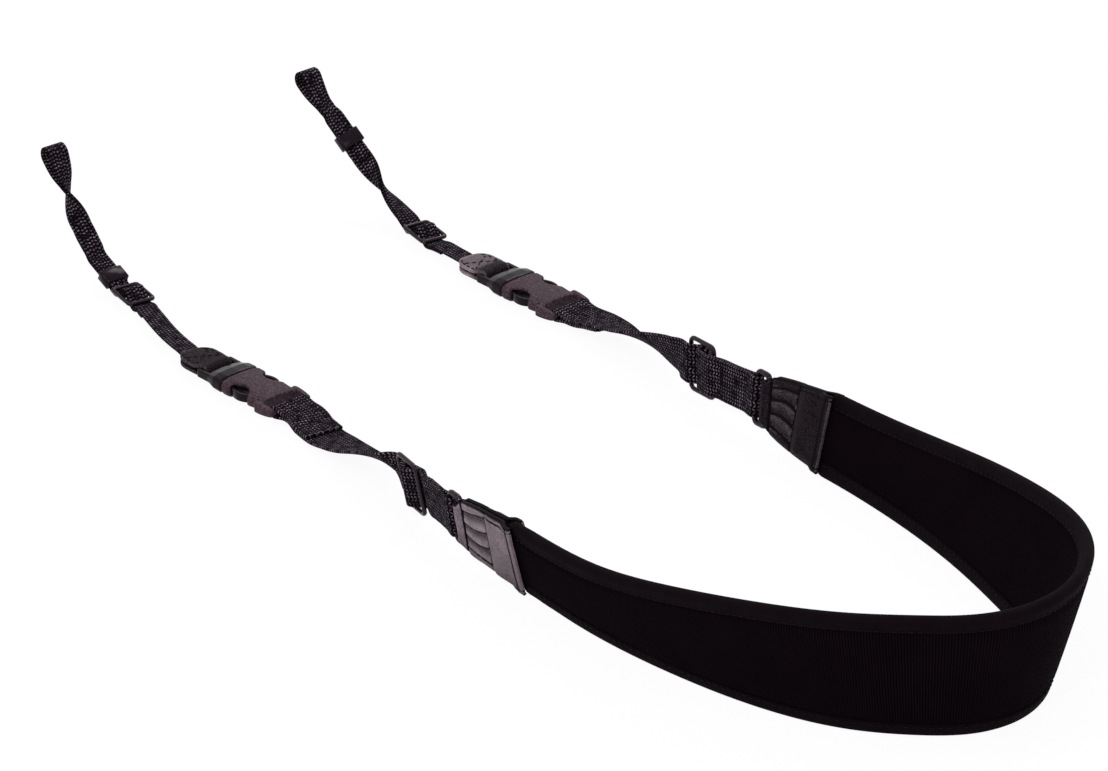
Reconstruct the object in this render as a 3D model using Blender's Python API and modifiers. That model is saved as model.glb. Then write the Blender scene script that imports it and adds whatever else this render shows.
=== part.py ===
"""Camera neck strap: a standing foam pad with leather ends, webbing, sliders and side-release buckles.

Units are metres, +Z is up. Sizes below are written in millimetres and turned by MM.
The strap lies on the plane z = 0 as it would be laid out: the pad stands on its lower edge,
the buckles lie flat, and the two thin ends rise to the height at which the strap is hooked in.

Each soft piece is cut flat in the strap's own coordinates, which are the station along the strap,
the place across it and the height off its middle layer. It is then bent onto the strap's line.
Hard pieces are built straight and set on the line by location and rotation.
"""
import math

import bmesh
import bpy
import numpy as np
from mathutils import Matrix, Vector

MM = 0.001
OBJECT_NAME = "camera_strap"

# Clearance between pieces that touch, and the play of pieces that run in each other
GAP = 0.3
PLAY = 0.35

# Neck pad
PAD_SHOWN = 550.4
PAD_TUCK = 16.0
PAD_END_WIDTH = 41.0
PAD_MIDDLE_WIDTH = 70.0
PAD_THICKNESS = 6.6
PAD_ROWS = 30
PAD_PINCH = 0.7
TUCK_INSET = 3.9
BINDING_WIDTH = 7.5
BINDING_THICKNESS = 1.2
BINDING_SHELL = 6.2

# Leather end tab
TAB_LENGTH = 45.0
TAB_RING_WIDTH = 24.0
TAB_LEATHER = 1.5
TAB_INSET = 2.8
TAB_SWELL = 0.65
PLEAT_COUNT = 3
PLEAT_HEIGHT = 0.8

# Rectangular ring
RING_BAR = 3.0
RING_LENGTH = 12.0
RING_CORNER = 2.2

# Wide webbing and its slider
WIDE_WIDTH = 20.0
WIDE_THICKNESS = 1.3
WIDE_TAIL = 31.0
WIDE_SLIDER_LENGTH = 20.5
WIDE_SLIDER_BAR = 2.4
WIDE_SLIDER_CORNER = 2.6

# Narrow webbing, its tri-glide and its keeper
NARROW_WIDTH = 10.0
NARROW_THICKNESS = 1.1
NARROW_TAIL = 12.0
GLIDE_LENGTH = 19.0
GLIDE_BAR = 2.2
GLIDE_CORNER = 1.3
KEEPER_LENGTH = 7.5
KEEPER_WALL = 1.1
KEEPER_TRAVEL = 8.0
EYE_RADIUS = 3.7

# Side-release buckle
BUCKLE_WIDTH = 23.5
BUCKLE_THICKNESS = 9.0
SOCKET_LENGTH = 28.0
SOCKET_END_WIDTH = 22.0
SOCKET_END_THICKNESS = 6.6
SOCKET_WALL = 1.9
SOCKET_LOOP = 9.6
SOCKET_LOOP_WIDTH = 26.0
SOCKET_BAR = 3.0
SOCKET_RAIL_THICKNESS = 5.4
WINDOW_RADIUS = 7.0
WINDOW_FROM_MOUTH = 12.0
PLUG_LENGTH = 19.6
PLUG_END_WIDTH = 21.0
PLUG_END_THICKNESS = 5.6
PLUG_BAR = 3.0
PLUG_SLOT = 4.2
PLUG_RAIL = 2.4
PLUG_RAIL_THICKNESS = 4.0
ARM_THICKNESS = 4.2
ARM_WALL = 1.5
ARM_LENGTH = 20.0
TONGUE_WIDTH = 4.4
TONGUE_LENGTH = 24.0

# Oval leather patch
PATCH_LENGTH = 19.0
PATCH_WIDTH = 18.5
PATCH_LEATHER = 1.3

# Distances along the strap, for the left and the right branch
RING_TO_SLIDER = {"left": 47.1, "right": 48.1}
SLIDER_TO_SOCKET_BAR = {"left": 114.4, "right": 102.4}
PATCH_TO_GLIDE = {"left": 69.5, "right": 36.5}
GLIDE_TO_KEEPER = {"left": 17.5, "right": 69.0}
KEEPER_TO_EYE = {"left": 67.5, "right": 36.0}

# The strap's line, chosen by hand: x, y, z in millimetres, and the roll of the strap about it in
# degrees. A roll of 0 lays the strap flat with its outer face up, 90 stands it on edge.
LINE_POINTS = (
    (-261, -94.2, 60, 362),
    (-254, -94.6, 49, 345),
    (-246, -95, 36, 275),
    (-236, -95, 24, 205),
    (-226, -94.5, 13.5, 183),
    (-214, -94.5, 7.2, 180),
    (-198, -96, 5.2, 180),
    (-181, -100, 4.6, 180),
    (-160, -107, 4.6, 180),
    (-137, -112.5, 4.8, 180),
    (-115, -114.5, 5.0, 180),
    (-91, -114.5, 5.0, 180),
    (-70, -114, 5.0, 180),
    (-50, -114.6, 4.3, 180),
    (-24, -118.5, 3.6, 180),
    (5, -122.3, 8.0, 165),
    (28, -126.6, 13.4, 139),
    (54, -133, 14.6, 100),
    (75, -138, 16.5, 98),
    (97, -143, 18.5, 98),
    (132, -147, 20, 102),
    (152, -147.5, 21, 105),
    (181, -150, 23, 106),
    (209, -151.5, 26, 107),
    (258, -148.5, 31, 106),
    (302, -140, 34, 105),
    (338, -125, 35, 105),
    (362, -106, 35.2, 105),
    (379, -84, 35.2, 105),
    (384, -58, 35.2, 105),
    (375, -31, 35.2, 105),
    (353, -8, 35, 105),
    (325, 6, 34.2, 105),
    (294.5, 16, 32.5, 105),
    (265, 24, 30.5, 105),
    (230, 31, 26.5, 105),
    (184.5, 36.5, 23, 105),
    (154, 38, 21, 104),
    (132, 38, 20, 102),
    (101, 40.5, 18.5, 98),
    (80, 43, 16.5, 95),
    (53, 46, 14.6, 92),
    (31, 48, 13, 74),
    (6, 50, 10, 38),
    (-23, 52, 6.8, 6),
    (-47, 52, 5.0, 0),
    (-74, 51, 5.0, 0),
    (-99, 50.5, 5.0, 0),
    (-120, 50.5, 4.9, 0),
    (-142, 52, 4.8, 0),
    (-158, 53.5, 5.6, 2),
    (-176, 56, 8, 10),
    (-191, 58, 13, 42),
    (-204, 58.5, 20.5, 100),
    (-217, 57, 31, 152),
    (-228, 54.5, 42, 170),
    (-237, 51.4, 52, 178),
    (-245, 51, 61, 180),
)
MIDDLE_POINT = (383.9, -62)

# The pad's length for which the points are laid out, and the x from which they stretch with it
LINE_PAD = 550.4
LINE_PAD_START = 153.0

SIDES = {"left": -1, "right": 1}
# Which way a piece's top side looks, against the strap's outer face
TOP_SIDE = {"left": -1, "right": 1}

FINISHES = {
    "jersey": ((0.010, 0.007, 0.012), 0.92),
    "binding": ((0.016, 0.012, 0.018), 0.75),
    "leather": ((0.060, 0.046, 0.058), 0.55),
    "webbing": ((0.014, 0.011, 0.018), 0.85),
    "plastic": ((0.050, 0.042, 0.050), 0.38),
}


def smooth(t):
    """A number from 0 to 1 that leaves and arrives gently."""
    t = min(max(t, 0.0), 1.0)
    return t * t * (3.0 - 2.0 * t)


def laid_out(points):
    """The points, each x, y and more, stretched along x for a pad of another length."""
    reach = max(point[0] for point in LINE_POINTS) - LINE_PAD_START
    spread = (PAD_SHOWN - LINE_PAD) / 2.0 / reach
    return [(point[0] + spread * max(point[0] - LINE_PAD_START, 0.0), *point[1:]) for point in points]


def spline(points, step=1.0):
    """Points about one step apart on the smooth curve through points, which may have any columns."""
    points = np.array(points, float)
    chord = np.concatenate([[0.0], np.cumsum(np.linalg.norm(np.diff(points[:, :3], axis=0), axis=1))])
    count = len(points)
    gaps = np.diff(chord)
    matrix = np.eye(count)
    right = np.zeros_like(points)
    for i in range(1, count - 1):
        matrix[i, i - 1 : i + 2] = (gaps[i - 1], 2.0 * (gaps[i - 1] + gaps[i]), gaps[i])
        rise = (points[i + 1] - points[i]) / gaps[i] - (points[i] - points[i - 1]) / gaps[i - 1]
        right[i] = 6.0 * rise
    bend = np.linalg.solve(matrix, right)
    at = np.linspace(0.0, chord[-1], int(chord[-1] / step) + 1)
    k = np.clip(np.searchsorted(chord, at, side="right") - 1, 0, count - 2)
    a, b, h = at - chord[k], chord[k + 1] - at, gaps[k]
    curve = (bend[k].T * b**3 + bend[k + 1].T * a**3) / (6.0 * h)
    curve += (points[k].T / h - bend[k].T * h / 6.0) * b
    curve += (points[k + 1].T / h - bend[k + 1].T * h / 6.0) * a
    return curve.T


class StrapLine:
    """The strap's line in millimetres, by station: 0 in the pad's middle, minus to the left branch."""

    def __init__(self, points, middle):
        curve = spline(points)
        self.place, self.roll = curve[:, :3], curve[:, 3]
        steps = np.linalg.norm(np.diff(self.place, axis=0), axis=1)
        self.station = np.concatenate([[0.0], np.cumsum(steps)])
        nearest = np.argmin(np.linalg.norm(self.place[:, :2] - np.array(middle), axis=1))
        self.station -= self.station[nearest]

    def rest(self, reach, width, sole):
        """Lets the strap stand on its lower edge, up to a reach from its middle, and blends beyond.
        width gives the strap's width at a station, sole how far the edge goes below its centre."""
        for i, station in enumerate(self.station):
            share = 1.0 - smooth((abs(station) - reach) / 25.0)
            if share > 0.0:
                radius = BINDING_SHELL / 2.0
                rise = math.sin(math.radians(self.roll[i]))
                stand = (width(station) / 2.0 - radius) * rise + sole
                self.place[i][2] += share * (stand - self.place[i][2])

    def value(self, table, station):
        return np.array([np.interp(station, self.station, column) for column in table.T])

    def straighten(self, centre, length, run_out):
        """Makes the line straight and untwisted over a hard piece, and eases it back beyond."""
        place = self.value(self.place, centre)
        ahead = self.value(self.place, centre + 0.3 * length) - self.value(self.place, centre - 0.3 * length)
        ahead /= np.linalg.norm(ahead)
        roll = np.interp(centre, self.station, self.roll)
        for i, station in enumerate(self.station):
            share = 1.0 - smooth((abs(station - centre) - 0.5 * length) / run_out)
            if share > 0.0:
                straight = place + ahead * (station - centre)
                self.place[i] += share * (straight - self.place[i])
                self.roll[i] += share * (roll - self.roll[i])

    def frame(self, station):
        """Place, the directions along, across and outward, at a station."""
        low, high = self.station[0] + 0.6, self.station[-1] - 0.6
        inside = min(max(station, low), high)
        along = self.value(self.place, inside + 0.5) - self.value(self.place, inside - 0.5)
        along = Vector(along).normalized()
        place = Vector(self.value(self.place, inside)) + along * (station - inside)
        level = Vector((0, 0, 1)).cross(along).normalized()
        rise = along.cross(level)
        roll = math.radians(float(np.interp(inside, self.station, self.roll)))
        across = math.cos(roll) * level + math.sin(roll) * rise
        return place, along, across, along.cross(across)


class Branch:
    """One side of the strap. Its stations run from the pad's middle to the eye."""

    def __init__(self, line, side):
        self.line, self.side, self.sign = line, side, SIDES[side]
        self.top = TOP_SIDE[side]
        self.seam = PAD_SHOWN / 2.0
        self.ring = self.seam + TAB_LENGTH
        self.ring_centre = self.ring + RING_LENGTH / 2.0 - RING_BAR / 2.0
        self.slider = self.ring_centre + RING_TO_SLIDER[side]
        self.socket_bar = self.slider + SLIDER_TO_SOCKET_BAR[side]
        self.mouth = self.socket_bar - SOCKET_BAR / 2.0 + SOCKET_LOOP + SOCKET_LENGTH
        self.plug_bar = self.mouth + PLUG_LENGTH - PLUG_BAR / 2.0
        self.patch_tip = self.plug_bar + PATCH_LENGTH
        self.glide = self.patch_tip + PATCH_TO_GLIDE[side]
        self.keeper = self.glide + GLIDE_TO_KEEPER[side]
        self.eye = self.keeper + KEEPER_TO_EYE[side]

    def frame(self, station):
        """Place, outward along the branch, across and outer face."""
        place, along, across, outer = self.line.frame(self.sign * station)
        return place, along * self.sign, across * self.sign, outer

    def matrix(self, station, top_up=True):
        """Where a hard piece stands: x towards the eye, y across, z to its top side."""
        place, along, across, outer = self.frame(station)
        if top_up and self.top < 0:
            across, outer = -across, -outer
        columns = (along, across, outer)
        matrix = Matrix([[column[k] for column in columns] for k in range(3)]).to_4x4()
        matrix.translation = place * MM
        return matrix

    def bend(self, mesh):
        """Bends a flat mesh, in millimetres of station, across and height, onto the strap."""
        for vertex in mesh.vertices:
            station, across, height = vertex.co
            place, _, sideways, outer = self.frame(station)
            vertex.co = (place + sideways * across + outer * height) * MM


def collection(name, hidden=False):
    group = bpy.data.collections.new(name)
    bpy.context.scene.collection.children.link(group)
    return group


def finish_of(name, finish):
    colour, roughness = FINISHES[finish]
    material = bpy.data.materials.new(name)
    material.use_nodes = True
    shader = material.node_tree.nodes["Principled BSDF"]
    shader.inputs["Base Color"].default_value = (*colour, 1.0)
    shader.inputs["Roughness"].default_value = roughness
    shader.inputs["Metallic"].default_value = 0.0
    material.diffuse_color = (*colour, 1.0)
    return material


def add_object(name, mesh, finish, group, sharp=35.0):
    piece = bpy.data.objects.new(name, mesh)
    group.objects.link(piece)
    if finish:
        mesh.materials.clear()
        mesh.materials.append(finish_of(name, finish))
    mesh.shade_smooth()
    mesh.set_sharp_from_angle(angle=math.radians(sharp))
    return piece


def evaluated_mesh(piece):
    """The piece's mesh with its modifiers applied; the piece itself is removed."""
    depsgraph = bpy.context.evaluated_depsgraph_get()
    mesh = bpy.data.meshes.new_from_object(piece.evaluated_get(depsgraph))
    bpy.data.objects.remove(piece)
    return mesh


def scratch_object(mesh):
    piece = bpy.data.objects.new("scratch", mesh)
    bpy.context.scene.collection.objects.link(piece)
    return piece


def mesh_of(bm, name):
    mesh = bpy.data.meshes.new(name)
    bm.to_mesh(mesh)
    bm.free()
    return mesh


def belt(stops, arc_step=30.0, run_step=5.0):
    """A taut path round circles. A stop is (station, height, radius, turn): turn is 1 where the
    path goes round the circle anticlockwise and -1 where it goes clockwise."""
    centres = [np.array(stop[:2], float) for stop in stops]
    signed = [stop[2] * stop[3] for stop in stops]
    normals = []
    for i in range(len(stops) - 1):
        apart = centres[i + 1] - centres[i]
        length = np.linalg.norm(apart)
        apart = apart / length
        square = np.array((-apart[1], apart[0]))
        lean = (signed[i + 1] - signed[i]) / length
        normals.append(lean * apart + math.sqrt(1.0 - lean * lean) * square)
    path = []
    for i, centre in enumerate(centres):
        before = normals[max(i - 1, 0)]
        after = normals[min(i, len(normals) - 1)]
        if signed[i] == 0.0:
            path.append(centre)
            continue
        first = math.atan2(before[1], before[0])
        turned = math.atan2(after[1], after[0]) - first
        if signed[i] > 0.0:
            turned %= 2.0 * math.pi
        else:
            turned = -((-turned) % (2.0 * math.pi))
        count = max(1, math.ceil(abs(math.degrees(turned)) / arc_step))
        for k in range(count + 1):
            angle = first + turned * k / count
            path.append(centre - signed[i] * np.array((math.cos(angle), math.sin(angle))))
    full = [path[0]]
    for point in path[1:]:
        length = np.linalg.norm(point - full[-1])
        if length < 0.02:
            continue
        start = full[-1]
        count = max(1, math.ceil(length / run_step))
        full.extend(start + (point - start) * k / count for k in range(1, count + 1))
    return full


def strip_mesh(name, path, width, thickness, columns=1, relief=None):
    """A band along a path of station and height. width is a number or a function of the place in
    the path; relief adds height off the band by station, share across and share of the path."""
    rows = len(path)
    bm = bmesh.new()
    bmesh.ops.create_grid(bm, x_segments=rows - 1, y_segments=columns, size=1.0)
    bm.verts.ensure_lookup_table()
    for vertex in bm.verts:
        row = round((vertex.co.x + 1.0) / 2.0 * (rows - 1))
        share = vertex.co.y
        station, height = path[row]
        wide = width(row, station) if callable(width) else width
        if relief:
            height += relief(row, station, share)
        vertex.co = (station, share * wide / 2.0, height)
    piece = scratch_object(mesh_of(bm, name))
    wall = piece.modifiers.new("thickness", "SOLIDIFY")
    wall.thickness = thickness
    wall.offset = 0.0
    wall.use_even_offset = True
    return evaluated_mesh(piece)


def loft_mesh(name, sections):
    """A closed body through sections, each a ring of as many points."""
    bm = bmesh.new()
    rings = [[bm.verts.new(point) for point in section] for section in sections]
    count = len(rings[0])
    for first, second in zip(rings, rings[1:]):
        for k in range(count):
            j = (k + 1) % count
            bm.faces.new((first[k], first[j], second[j], second[k]))
    bm.faces.new(rings[0])
    bm.faces.new(rings[-1])
    bmesh.ops.recalc_face_normals(bm, faces=bm.faces)
    return mesh_of(bm, name)


def outline_mesh(name, outlines, thickness, bevel=0.0, segments=2):
    """A flat plate from an outline and its holes, with its edges rounded."""
    curve = bpy.data.curves.new(name, "CURVE")
    curve.dimensions = "2D"
    curve.fill_mode = "BOTH"
    curve.extrude = thickness / 2.0
    for outline in outlines:
        line = curve.splines.new("POLY")
        line.points.add(len(outline) - 1)
        for point, (x, y) in zip(line.points, outline):
            point.co = (x, y, 0.0, 1.0)
        line.use_cyclic_u = True
    piece = scratch_object(curve)
    mesh = evaluated_mesh(piece)
    bpy.data.curves.remove(curve)
    bm = bmesh.new()
    bm.from_mesh(mesh)
    bpy.data.meshes.remove(mesh)
    bmesh.ops.remove_doubles(bm, verts=bm.verts, dist=1e-5)
    bmesh.ops.recalc_face_normals(bm, faces=bm.faces)
    mesh = mesh_of(bm, name)
    if not bevel:
        return mesh
    piece = scratch_object(mesh)
    round_over = piece.modifiers.new("rounding", "BEVEL")
    round_over.width = bevel
    round_over.segments = segments
    round_over.limit_method = "ANGLE"
    round_over.angle_limit = math.radians(50.0)
    round_over.harden_normals = False
    return evaluated_mesh(piece)


def arc(centre, radius, start, end, count):
    """Points on an arc, with angles in degrees."""
    angles = [math.radians(start + (end - start) * k / count) for k in range(count + 1)]
    return [(centre[0] + radius * math.cos(a), centre[1] + radius * math.sin(a)) for a in angles]


def rounded_rectangle(length, width, radius, count=3, centre=(0.0, 0.0)):
    x, y = length / 2.0 - radius, width / 2.0 - radius
    corners = ((x, y, 0), (-x, y, 90), (-x, -y, 180), (x, -y, 270))
    points = []
    for corner_x, corner_y, start in corners:
        middle = (centre[0] + corner_x, centre[1] + corner_y)
        points += arc(middle, radius, start, start + 90, count)
    return points


def scaled(mesh, factor=MM):
    mesh.transform(Matrix.Scale(factor, 4))
    return mesh


def box_mesh(name, low, high):
    bm = bmesh.new()
    bmesh.ops.create_cube(bm, size=1.0)
    size = [b - a for a, b in zip(low, high)]
    middle = [(a + b) / 2.0 for a, b in zip(low, high)]
    bmesh.ops.scale(bm, vec=size, verts=bm.verts)
    bmesh.ops.translate(bm, vec=middle, verts=bm.verts)
    return mesh_of(bm, name)


def cylinder_mesh(name, radius, length, sides, matrix):
    bm = bmesh.new()
    bmesh.ops.create_cone(
        bm, cap_ends=True, segments=sides, radius1=radius, radius2=radius, depth=length, matrix=matrix
    )
    return mesh_of(bm, name)


def combined(base, others, operation):
    """The base mesh with the others cut from it, joined to it or kept in common."""
    piece = scratch_object(base)
    helpers = []
    for i, other in enumerate(others):
        helper = scratch_object(other)
        helper.hide_render = True
        helper.display_type = "WIRE"
        helpers.append(helper)
        step = piece.modifiers.new(f"{operation.lower()}_{i}", "BOOLEAN")
        step.operation = operation
        step.solver = "EXACT"
        step.object = helper
    mesh = evaluated_mesh(piece)
    for helper in helpers:
        bpy.data.objects.remove(helper)
    return mesh


# Neck pad


def pad_width(station):
    """The pad swells from its ends to its middle."""
    share = abs(station) / (PAD_SHOWN / 2.0)
    swell = smooth((1.0 - share) / 0.85)
    return PAD_END_WIDTH + (PAD_MIDDLE_WIDTH - PAD_END_WIDTH) * swell


def pad_stations():
    """Evenly spaced along the pad, and close together where the tabs pinch and cover it."""
    seam = PAD_SHOWN / 2.0
    even = seam - PAD_TUCK
    stations = [even * (2.0 * k / PAD_ROWS - 1.0) for k in range(PAD_ROWS + 1)]
    ends = [seam - 9.0, seam - 4.0, seam, seam + 2.5, seam + 5.0, seam + PAD_TUCK]
    return [-station for station in reversed(ends)] + stations + ends


def pad_pinch(station):
    """The pad's thickness as a share: it is pressed together under the tabs."""
    return 1.0 - (1.0 - PAD_PINCH) * smooth((abs(station) - PAD_SHOWN / 2.0 + 14.0) / 14.0)


def tucked_width(station):
    """The pad's width: beyond the seam it is cut narrower, so that the tab closes round it."""
    beyond = abs(station) - PAD_SHOWN / 2.0
    hidden = leaf_width(TAB_LENGTH - beyond) - 2.0 * TUCK_INSET
    return pad_width(station) + (hidden - pad_width(station)) * smooth(beyond / 5.0)


def leaf_width(from_ring):
    """A tab's width, which grows from the ring to the tab's other end, where it covers the pad."""
    cover = pad_width(PAD_SHOWN / 2.0) - TAB_INSET
    share = min(max(from_ring / TAB_LENGTH, 0.0), 1.0) ** TAB_SWELL
    return TAB_RING_WIDTH + (cover - TAB_RING_WIDTH) * share


def pad_section(width, pinch):
    """Half of the foam's section, from its lower edge up, thin where the binding wraps it."""
    edge = width / 2.0 - BINDING_THICKNESS - GAP
    step = width / 2.0 - BINDING_WIDTH - 0.8
    thin = pinch * BINDING_SHELL / 2.0 - BINDING_THICKNESS - GAP
    thick = pinch * PAD_THICKNESS / 2.0
    side = [(-edge, thin - 0.5), (-edge + 0.7, thin), (-step - 0.6, thin), (-step + 1.4, thick)]
    return side + [(-y, n) for y, n in reversed(side)]


def add_pad(line, group):
    sections = []
    for station in pad_stations():
        half = pad_section(tucked_width(station), pad_pinch(station))
        ring = half + [(y, -n) for y, n in reversed(half)]
        place, _, across, outer = line.frame(station)
        sections.append([(place + across * y + outer * n) * MM for y, n in ring])
    return add_object("neck_pad", loft_mesh("neck_pad", sections), "jersey", group)


def binding_section(width, pinch, edge):
    """A tape folded round one long edge of the pad, as a closed ring of points."""
    outer, wall = pinch * BINDING_SHELL / 2.0, BINDING_THICKNESS
    tip = width / 2.0
    inner = outer - wall
    leg = tip - BINDING_WIDTH
    outside = [(leg, outer - 0.3), (leg + 0.5, outer)]
    outside += [(tip - outer + outer * math.sin(a), outer * math.cos(a)) for a in
                (math.radians(d) for d in (0, 28, 57, 93, 136, 180))]
    outside += [(leg + 0.5, -outer), (leg, -outer + 0.3)]
    inside = [(leg, -inner)]
    inside += [(tip - wall - 0.6, -inner), (tip - wall, -inner + 0.6), (tip - wall, inner - 0.6),
               (tip - wall - 0.6, inner), (leg, inner)]
    return [(edge * y, n) for y, n in outside + inside]


def add_bindings(line, group):
    for name, edge in (("binding_upper", 1), ("binding_lower", -1)):
        sections = []
        for station in pad_stations():
            place, _, across, outer = line.frame(station)
            ring = binding_section(tucked_width(station), pad_pinch(station), edge)
            points = [(place + across * y + outer * n) * MM for y, n in ring]
            sections.append([(point.x, point.y, max(point.z, 0.0)) for point in points])
        add_object(name, loft_mesh(name, sections), "binding", group)


# Leather end tab


def add_tab(branch, group):
    name = f"leather_tab_{branch.side}"
    half = TAB_LEATHER / 2.0
    over_pad = PAD_PINCH * max(PAD_THICKNESS, BINDING_SHELL) / 2.0 + GAP + half
    together = half + GAP / 2.0
    seat = RING_BAR / 2.0 + GAP + half
    pad_end = branch.seam + PAD_TUCK
    stops = [
        (branch.seam, over_pad, 0, 0),
        (pad_end + 0.5, over_pad, 0, 0),
        (pad_end + 5.5, together, 0, 0),
        (branch.ring - 4.5, together, 0, 0),
        (branch.ring, 0.0, seat, -1),
        (branch.ring - 4.5, -together, 0, 0),
        (pad_end + 5.5, -together, 0, 0),
        (pad_end + 0.5, -over_pad, 0, 0),
        (branch.seam, -over_pad, 0, 0),
    ]
    path = belt(stops, arc_step=36.0, run_step=4.2)
    turn = max(range(len(path)), key=lambda k: path[k][0])

    def width(row, station):
        return WIDE_WIDTH if station > branch.ring - RING_BAR else leaf_width(branch.ring - station)

    def relief(row, station, share):
        """Both leaves close on each other at their long edges and carry pleats that fan out."""
        side = 1.0 if row < turn else -1.0
        if abs(share) > 0.99:
            leaf = np.interp(station, (pad_end + 0.5, pad_end + 5.5), (over_pad, together))
            return side * (together - leaf) * smooth((station - branch.seam - 3.0) / 6.0)
        span = branch.ring - 4.5 - (pad_end + 5.5)
        along = (branch.ring - 4.5 - station) / span
        if not 0.0 < along < 1.0 or abs(share) > 0.7:
            return 0.0
        rise = math.sin(math.pi * along) ** 0.6
        wave = 0.5 + 0.5 * math.cos(math.pi * share * (PLEAT_COUNT + 0.6))
        return side * PLEAT_HEIGHT * rise * wave

    mesh = strip_mesh(name, path, width, TAB_LEATHER, columns=10, relief=relief)
    branch.bend(mesh)
    return add_object(name, mesh, "leather", group, sharp=50.0)


# Ring


def rod_loop(name, length, webbing, corner, bar):
    """A rod bent into a rounded rectangle whose ends are straight over the webbing and its play."""
    curve = bpy.data.curves.new(name, "CURVE")
    curve.dimensions = "3D"
    curve.bevel_depth = bar / 2.0
    curve.bevel_resolution = 2
    width = webbing + 2.0 * PLAY + 2.0 * corner
    outline = rounded_rectangle(length - bar, width, corner, count=3)
    line = curve.splines.new("POLY")
    line.points.add(len(outline) - 1)
    for point, (x, y) in zip(line.points, outline):
        point.co = (x, y, 0.0, 1.0)
    line.use_cyclic_u = True
    mesh = evaluated_mesh(scratch_object(curve))
    bpy.data.curves.remove(curve)
    return mesh


def add_ring(branch, group):
    name = f"ring_{branch.side}"
    mesh = scaled(rod_loop(name, RING_LENGTH, WIDE_WIDTH, RING_CORNER, RING_BAR))
    piece = add_object(name, mesh, "plastic", group)
    piece.matrix_world = branch.matrix(branch.ring_centre)
    return piece


# Sliders


def slider_mesh(name, length, webbing, corner, bar):
    """A rod loop as wide as the webbing and its play, with a third bar across its middle."""
    loop = rod_loop(name, length, webbing, corner, bar)
    turned = Matrix.Rotation(math.radians(90.0), 4, "X")
    reach = webbing + 2.0 * PLAY + 2.0 * corner
    middle = cylinder_mesh("bar", bar / 2.0, reach, 10, turned)
    return scaled(combined(loop, [middle], "UNION"))


def add_wide_slider(branch, group):
    name = f"wide_slider_{branch.side}"
    mesh = slider_mesh(name, WIDE_SLIDER_LENGTH, WIDE_WIDTH, WIDE_SLIDER_CORNER, WIDE_SLIDER_BAR)
    piece = add_object(name, mesh, "plastic", group)
    piece.matrix_world = branch.matrix(branch.slider, top_up=False)
    return piece


def add_glide(branch, group, carrier):
    name = f"narrow_triglide_{branch.side}"
    mesh = slider_mesh(name, GLIDE_LENGTH, NARROW_WIDTH, GLIDE_CORNER, GLIDE_BAR)
    piece = add_object(name, mesh, "plastic", group)
    set_under(piece, carrier, branch.matrix(branch.glide))
    return piece


def add_keeper(branch, group, carrier):
    """A flat loop that slides on the doubled webbing."""
    name = f"keeper_{branch.side}"
    inner_height = 2.0 * NARROW_THICKNESS + GAP + 2.0 * PLAY
    inner_width = NARROW_WIDTH + 2.0 * PLAY
    wall = 2.0 * KEEPER_WALL
    outlines = [
        rounded_rectangle(inner_height + wall, inner_width + wall, 1.2, count=2),
        rounded_rectangle(inner_height, inner_width, 0.4, count=1),
    ]
    mesh = scaled(outline_mesh(name, outlines, KEEPER_LENGTH, bevel=0.3, segments=1))
    mesh.transform(Matrix.Rotation(math.radians(90.0), 4, "Y"))
    piece = add_object(name, mesh, "plastic", group)
    pivot = bpy.data.objects.new(f"{name}_slide", None)
    group.objects.link(pivot)
    set_under(pivot, carrier, branch.matrix(branch.keeper))
    piece.parent = pivot
    return piece


def set_under(piece, carrier, world):
    piece.parent = carrier
    bpy.context.view_layer.update()
    piece.matrix_parent_inverse = carrier.matrix_world.inverted()
    piece.matrix_world = world


# Webbing


def add_wide_webbing(branch, group):
    """Sewn round the socket's bar, over the slider's middle bar, round the ring, back to that bar."""
    name = f"wide_webbing_{branch.side}"
    half = WIDE_THICKNESS / 2.0
    together = half + GAP / 2.0
    bar = WIDE_SLIDER_BAR / 2.0 + GAP + half
    layer = WIDE_THICKNESS + GAP
    spread = (WIDE_SLIDER_LENGTH - WIDE_SLIDER_BAR) / 2.0
    near_bar, far_bar = branch.slider - spread, branch.slider + spread
    near_ring = branch.ring_centre + (RING_LENGTH - RING_BAR) / 2.0
    socket_seat = SOCKET_BAR / 2.0 + GAP + half
    ring_seat = RING_BAR / 2.0 + GAP + half
    stops = [
        (branch.socket_bar - WIDE_TAIL, -together, 0, 0),
        (branch.socket_bar - 7.0, -together, 0, 0),
        (branch.socket_bar, 0.0, socket_seat, 1),
        (branch.socket_bar - 7.0, together, 0, 0),
        (branch.socket_bar - WIDE_TAIL - 2.0, together, 0, 0),
        (branch.socket_bar - WIDE_TAIL - 12.0, 0.0, 0, 0),
        (far_bar + 14.0, 0.0, 0, 0),
        (far_bar, 0.0, bar, -1),
        (branch.slider, 0.0, bar + layer, 1),
        (near_bar, 0.0, bar, -1),
        (near_bar - 7.0, together - 1.0, 0, 0),
        (near_ring + 7.0, together, 0, 0),
        (near_ring, 0.0, ring_seat, 1),
        (near_ring + 7.0, -together, 0, 0),
        (near_bar - 7.0, together - 1.0 - layer, 0, 0),
        (near_bar, 0.0, bar + layer, 1),
        (branch.slider, 0.0, bar, 1),
        (branch.slider - bar, -0.2, 0, 0),
    ]
    mesh = strip_mesh(name, belt(stops, run_step=6.0), WIDE_WIDTH, WIDE_THICKNESS)
    branch.bend(mesh)
    return add_object(name, mesh, "webbing", group)


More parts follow.
